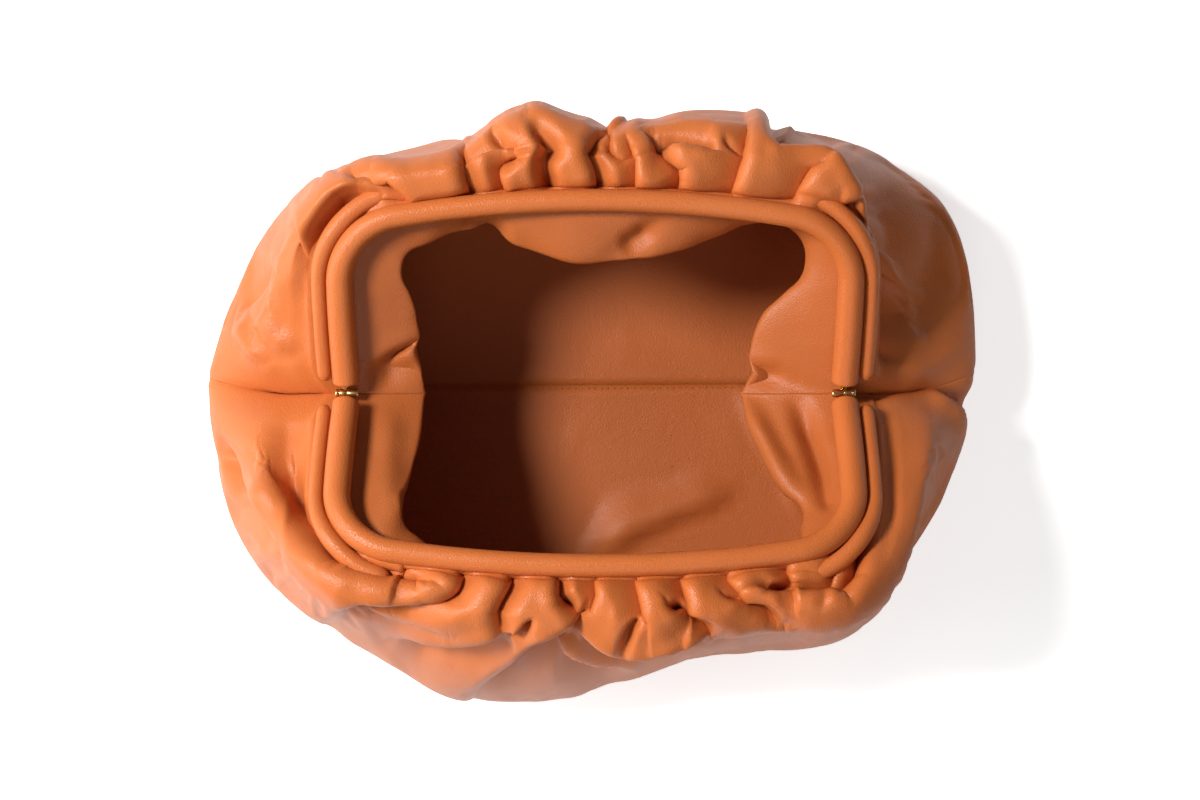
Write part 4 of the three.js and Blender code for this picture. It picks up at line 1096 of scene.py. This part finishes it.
def tone_group():
    """Slow changes of tone over the leather."""
    tree, source, result = group_with(
        "Leather tone",
        [("Vector", "NodeSocketVector", (0, 0, 0)), ("Base", "NodeSocketColor", (0.5, 0.5, 0.5, 1)),
         ("Worn", "NodeSocketColor", (0.7, 0.7, 0.7, 1)), ("Amount", "NodeSocketFloat", 0.5)],
        [("Color", "NodeSocketColor"), ("Gloss mask", "NodeSocketFloat")])
    if not source:
        return tree
    link = tree.links.new
    clouds = node(tree, "ShaderNodeTexNoise", Scale=11.0, Detail=3.0, Roughness=0.5)
    link(source.outputs["Vector"], clouds.inputs["Vector"])
    spread = node(tree, "ShaderNodeMapRange", **{"From Min": 0.35, "From Max": 0.7})
    link(clouds.outputs["Fac"], spread.inputs["Value"])
    amount = node(tree, "ShaderNodeMath", settings={"operation": "MULTIPLY"})
    link(spread.outputs["Result"], amount.inputs[0])
    link(source.outputs["Amount"], amount.inputs[1])
    tones = node(tree, "ShaderNodeMix", settings={"data_type": "RGBA"})
    link(amount.outputs[0], tones.inputs["Factor"])
    link(source.outputs["Base"], tones.inputs[MIX_A])
    link(source.outputs["Worn"], tones.inputs[MIX_B])
    link(tones.outputs[MIX_RESULT], result.inputs["Color"])
    link(spread.outputs["Result"], result.inputs["Gloss mask"])
    return tree


def new_material(name):
    """A material with its nodes and its shader, or only the material if it is there already."""
    material = bpy.data.materials.get(name)
    if material:
        return material, None, None
    material = bpy.data.materials.new(name)
    material.use_nodes = True
    tree = material.node_tree
    shader = tree.nodes.get("Principled BSDF")
    return material, tree, shader


def leather_material(context, name, roughness, creasing, amount, painted_shade):
    """Leather of this roughness, with so much creasing and so much of the worn tone; the last argument
    darkens its colours as painted shade.
    """
    material, tree, shader = new_material(name)
    if not tree:
        return material
    colours = context.scene.bag_colours
    sizes = context.scene.bag_sizes
    link = tree.links.new
    place = node(tree, "ShaderNodeTexCoord")
    tone = node(tree, "ShaderNodeGroup", settings={"node_tree": tone_group()})
    # Below 1, the last argument darkens the base and worn colours as painted shade; at 1 it leaves them as
    # they are.
    tone.inputs["Base"].default_value = (*[c * painted_shade for c in colours.leather], 1)
    tone.inputs["Worn"].default_value = (*[c * painted_shade for c in colours.worn], 1)
    tone.inputs["Amount"].default_value = amount
    link(place.outputs["Object"], tone.inputs["Vector"])
    link(tone.outputs["Color"], shader.inputs["Base Color"])
    grain = node(tree, "ShaderNodeGroup", settings={"node_tree": grain_group()})
    grain.inputs["Grain size"].default_value = sizes.grain
    grain.inputs["Creasing"].default_value = creasing
    link(place.outputs["Object"], grain.inputs["Vector"])
    bump = node(tree, "ShaderNodeBump", Strength=0.55, Distance=0.0003)
    link(grain.outputs["Height"], bump.inputs["Height"])
    link(bump.outputs["Normal"], shader.inputs["Normal"])
    gloss = node(tree, "ShaderNodeMapRange", **{"To Min": roughness - 0.04, "To Max": roughness + 0.05})
    link(tone.outputs["Gloss mask"], gloss.inputs["Value"])
    link(gloss.outputs["Result"], shader.inputs["Roughness"])
    shader.inputs["Specular IOR Level"].default_value = 0.25
    return material


def leather(context):
    """The outer leather."""
    return leather_material(context, "tan_leather", 0.37, 1.2, 0.6, 1.0)


def lining_leather(context):
    """The lining's leather, less glossy, with its colours darkened to 0.8 as painted shade for the bag's
    shaded inside.
    """
    return leather_material(context, "lining_leather", 0.44, 1.5, 0.4, 0.8)


def brass(context):
    """Scuffed brass."""
    material, tree, shader = new_material("hinge_brass")
    if not tree:
        return material
    colours = context.scene.bag_colours
    link = tree.links.new
    place = node(tree, "ShaderNodeTexCoord")
    scuffs = node(tree, "ShaderNodeTexNoise", Scale=900.0, Detail=4.0, Roughness=0.6)
    link(place.outputs["Object"], scuffs.inputs["Vector"])
    gloss = node(tree, "ShaderNodeMapRange", **{"To Min": 0.16, "To Max": 0.34})
    link(scuffs.outputs["Fac"], gloss.inputs["Value"])
    link(gloss.outputs["Result"], shader.inputs["Roughness"])
    tarnish = node(tree, "ShaderNodeMix", settings={"data_type": "RGBA"})
    tarnish.inputs[MIX_A].default_value = (*colours.brass, 1)
    tarnish.inputs[MIX_B].default_value = (*[c * 0.8 for c in colours.brass], 1)
    link(scuffs.outputs["Fac"], tarnish.inputs["Factor"])
    link(tarnish.outputs[MIX_RESULT], shader.inputs["Base Color"])
    shader.inputs["Metallic"].default_value = 1
    return material


class BAG_OT_stage(LeatherOperator, bpy.types.Operator):
    """Set the floor, the lights and the camera"""

    bl_idname = "bag.stage"
    bl_label = "Stage"

    def execute(self, context):
        scene = context.scene
        bm = bmesh.new()
        bmesh.ops.create_grid(bm, x_segments=1, y_segments=1, size=4)
        mesh = bpy.data.meshes.new("floor")
        bm.to_mesh(mesh)
        bm.free()
        floor = bpy.data.objects.new("floor", mesh)
        scene.collection.objects.link(floor)
        material, tree, shader = new_material("floor_paper")
        shader.inputs["Base Color"].default_value = (*scene.bag_colours.floor, 1)
        shader.inputs["Roughness"].default_value = 0.9
        shader.inputs["Specular IOR Level"].default_value = 0.2
        seen = node(tree, "ShaderNodeLightPath")
        glow = node(tree, "ShaderNodeEmission", Strength=0.6)
        both = node(tree, "ShaderNodeAddShader")
        shown = node(tree, "ShaderNodeMixShader")
        tree.links.new(seen.outputs["Is Camera Ray"], shown.inputs[0])
        tree.links.new(shader.outputs[0], shown.inputs[1])
        tree.links.new(shader.outputs[0], both.inputs[0])
        tree.links.new(glow.outputs[0], both.inputs[1])
        tree.links.new(both.outputs[0], shown.inputs[2])
        tree.links.new(shown.outputs[0], tree.nodes["Material Output"].inputs["Surface"])
        mesh.materials.append(material)
        scene.view_settings.view_transform = "Standard"
        for name, place, size, power in LAMPS:
            self.light(scene, name, place, size, power)
        world = bpy.data.worlds.new("studio")
        scene.world = world
        world.use_nodes = True
        background = world.node_tree.nodes.get("Background")
        background.inputs["Color"].default_value = (1, 1, 1, 1)
        background.inputs["Strength"].default_value = 0.12
        self.camera(scene)
        return {"FINISHED"}

    def light(self, scene, name, place, size, power):
        """A round lamp that points at the middle of the floor and isn't seen itself."""
        lamp = bpy.data.lights.new(name, "AREA")
        lamp.shape = "DISK"
        lamp.size = size
        lamp.energy = power
        made = bpy.data.objects.new(name, lamp)
        made.location = place
        made.rotation_euler = (-Vector(place)).to_track_quat("-Z", "Y").to_euler()
        made.visible_camera = False
        scene.collection.objects.link(made)

    def camera(self, scene):
        """The camera, straight above."""
        lens = bpy.data.cameras.new("overhead")
        lens.sensor_width = 36
        lens.lens = lens.sensor_width * FOCAL / PICTURE_WIDTH
        camera = bpy.data.objects.new("overhead", lens)
        height = scene.bag_sizes.camera_height + HINGE_MIDDLE.z
        camera.location = (HINGE_MIDDLE.x + VIEW_FROM[0] * MM, HINGE_MIDDLE.y + VIEW_FROM[1] * MM, height)
        scene.collection.objects.link(camera)
        scene.camera = camera


class BAG_PT_panel(bpy.types.Panel):
    """The bag's pieces, sizes and colours"""

    bl_idname = "BAG_PT_panel"
    bl_label = "Pouch bag"
    bl_space_type = "VIEW_3D"
    bl_region_type = "UI"
    bl_category = "Bag"

    def draw(self, context):
        for operator in OPERATORS:
            self.layout.operator(operator.bl_idname)
        for group in (context.scene.bag_sizes, context.scene.bag_colours):
            for key in group.__annotations__:
                self.layout.prop(group, key)


OPERATORS = (BAG_OT_stage, BAG_OT_outer_leather, BAG_OT_lining, BAG_OT_frame, BAG_OT_stitches, BAG_OT_hinges)
CLASSES = (BagSizes, BagColours, *OPERATORS, BAG_PT_panel)


def register():
    for cls in CLASSES:
        bpy.utils.register_class(cls)
    bpy.types.Scene.bag_sizes = PointerProperty(type=BagSizes)
    bpy.types.Scene.bag_colours = PointerProperty(type=BagColours)


def unregister():
    del bpy.types.Scene.bag_colours
    del bpy.types.Scene.bag_sizes
    for cls in reversed(CLASSES):
        bpy.utils.unregister_class(cls)


def main():
    """Builds the bag and its stage."""
    register()
    bpy.ops.bag.stage()
    bpy.ops.bag.outer_leather()
    bpy.ops.bag.lining()
    bpy.ops.bag.frame()
    bpy.ops.bag.stitches()
    bpy.ops.bag.hinges()


if __name__ == "__main__":
    main()
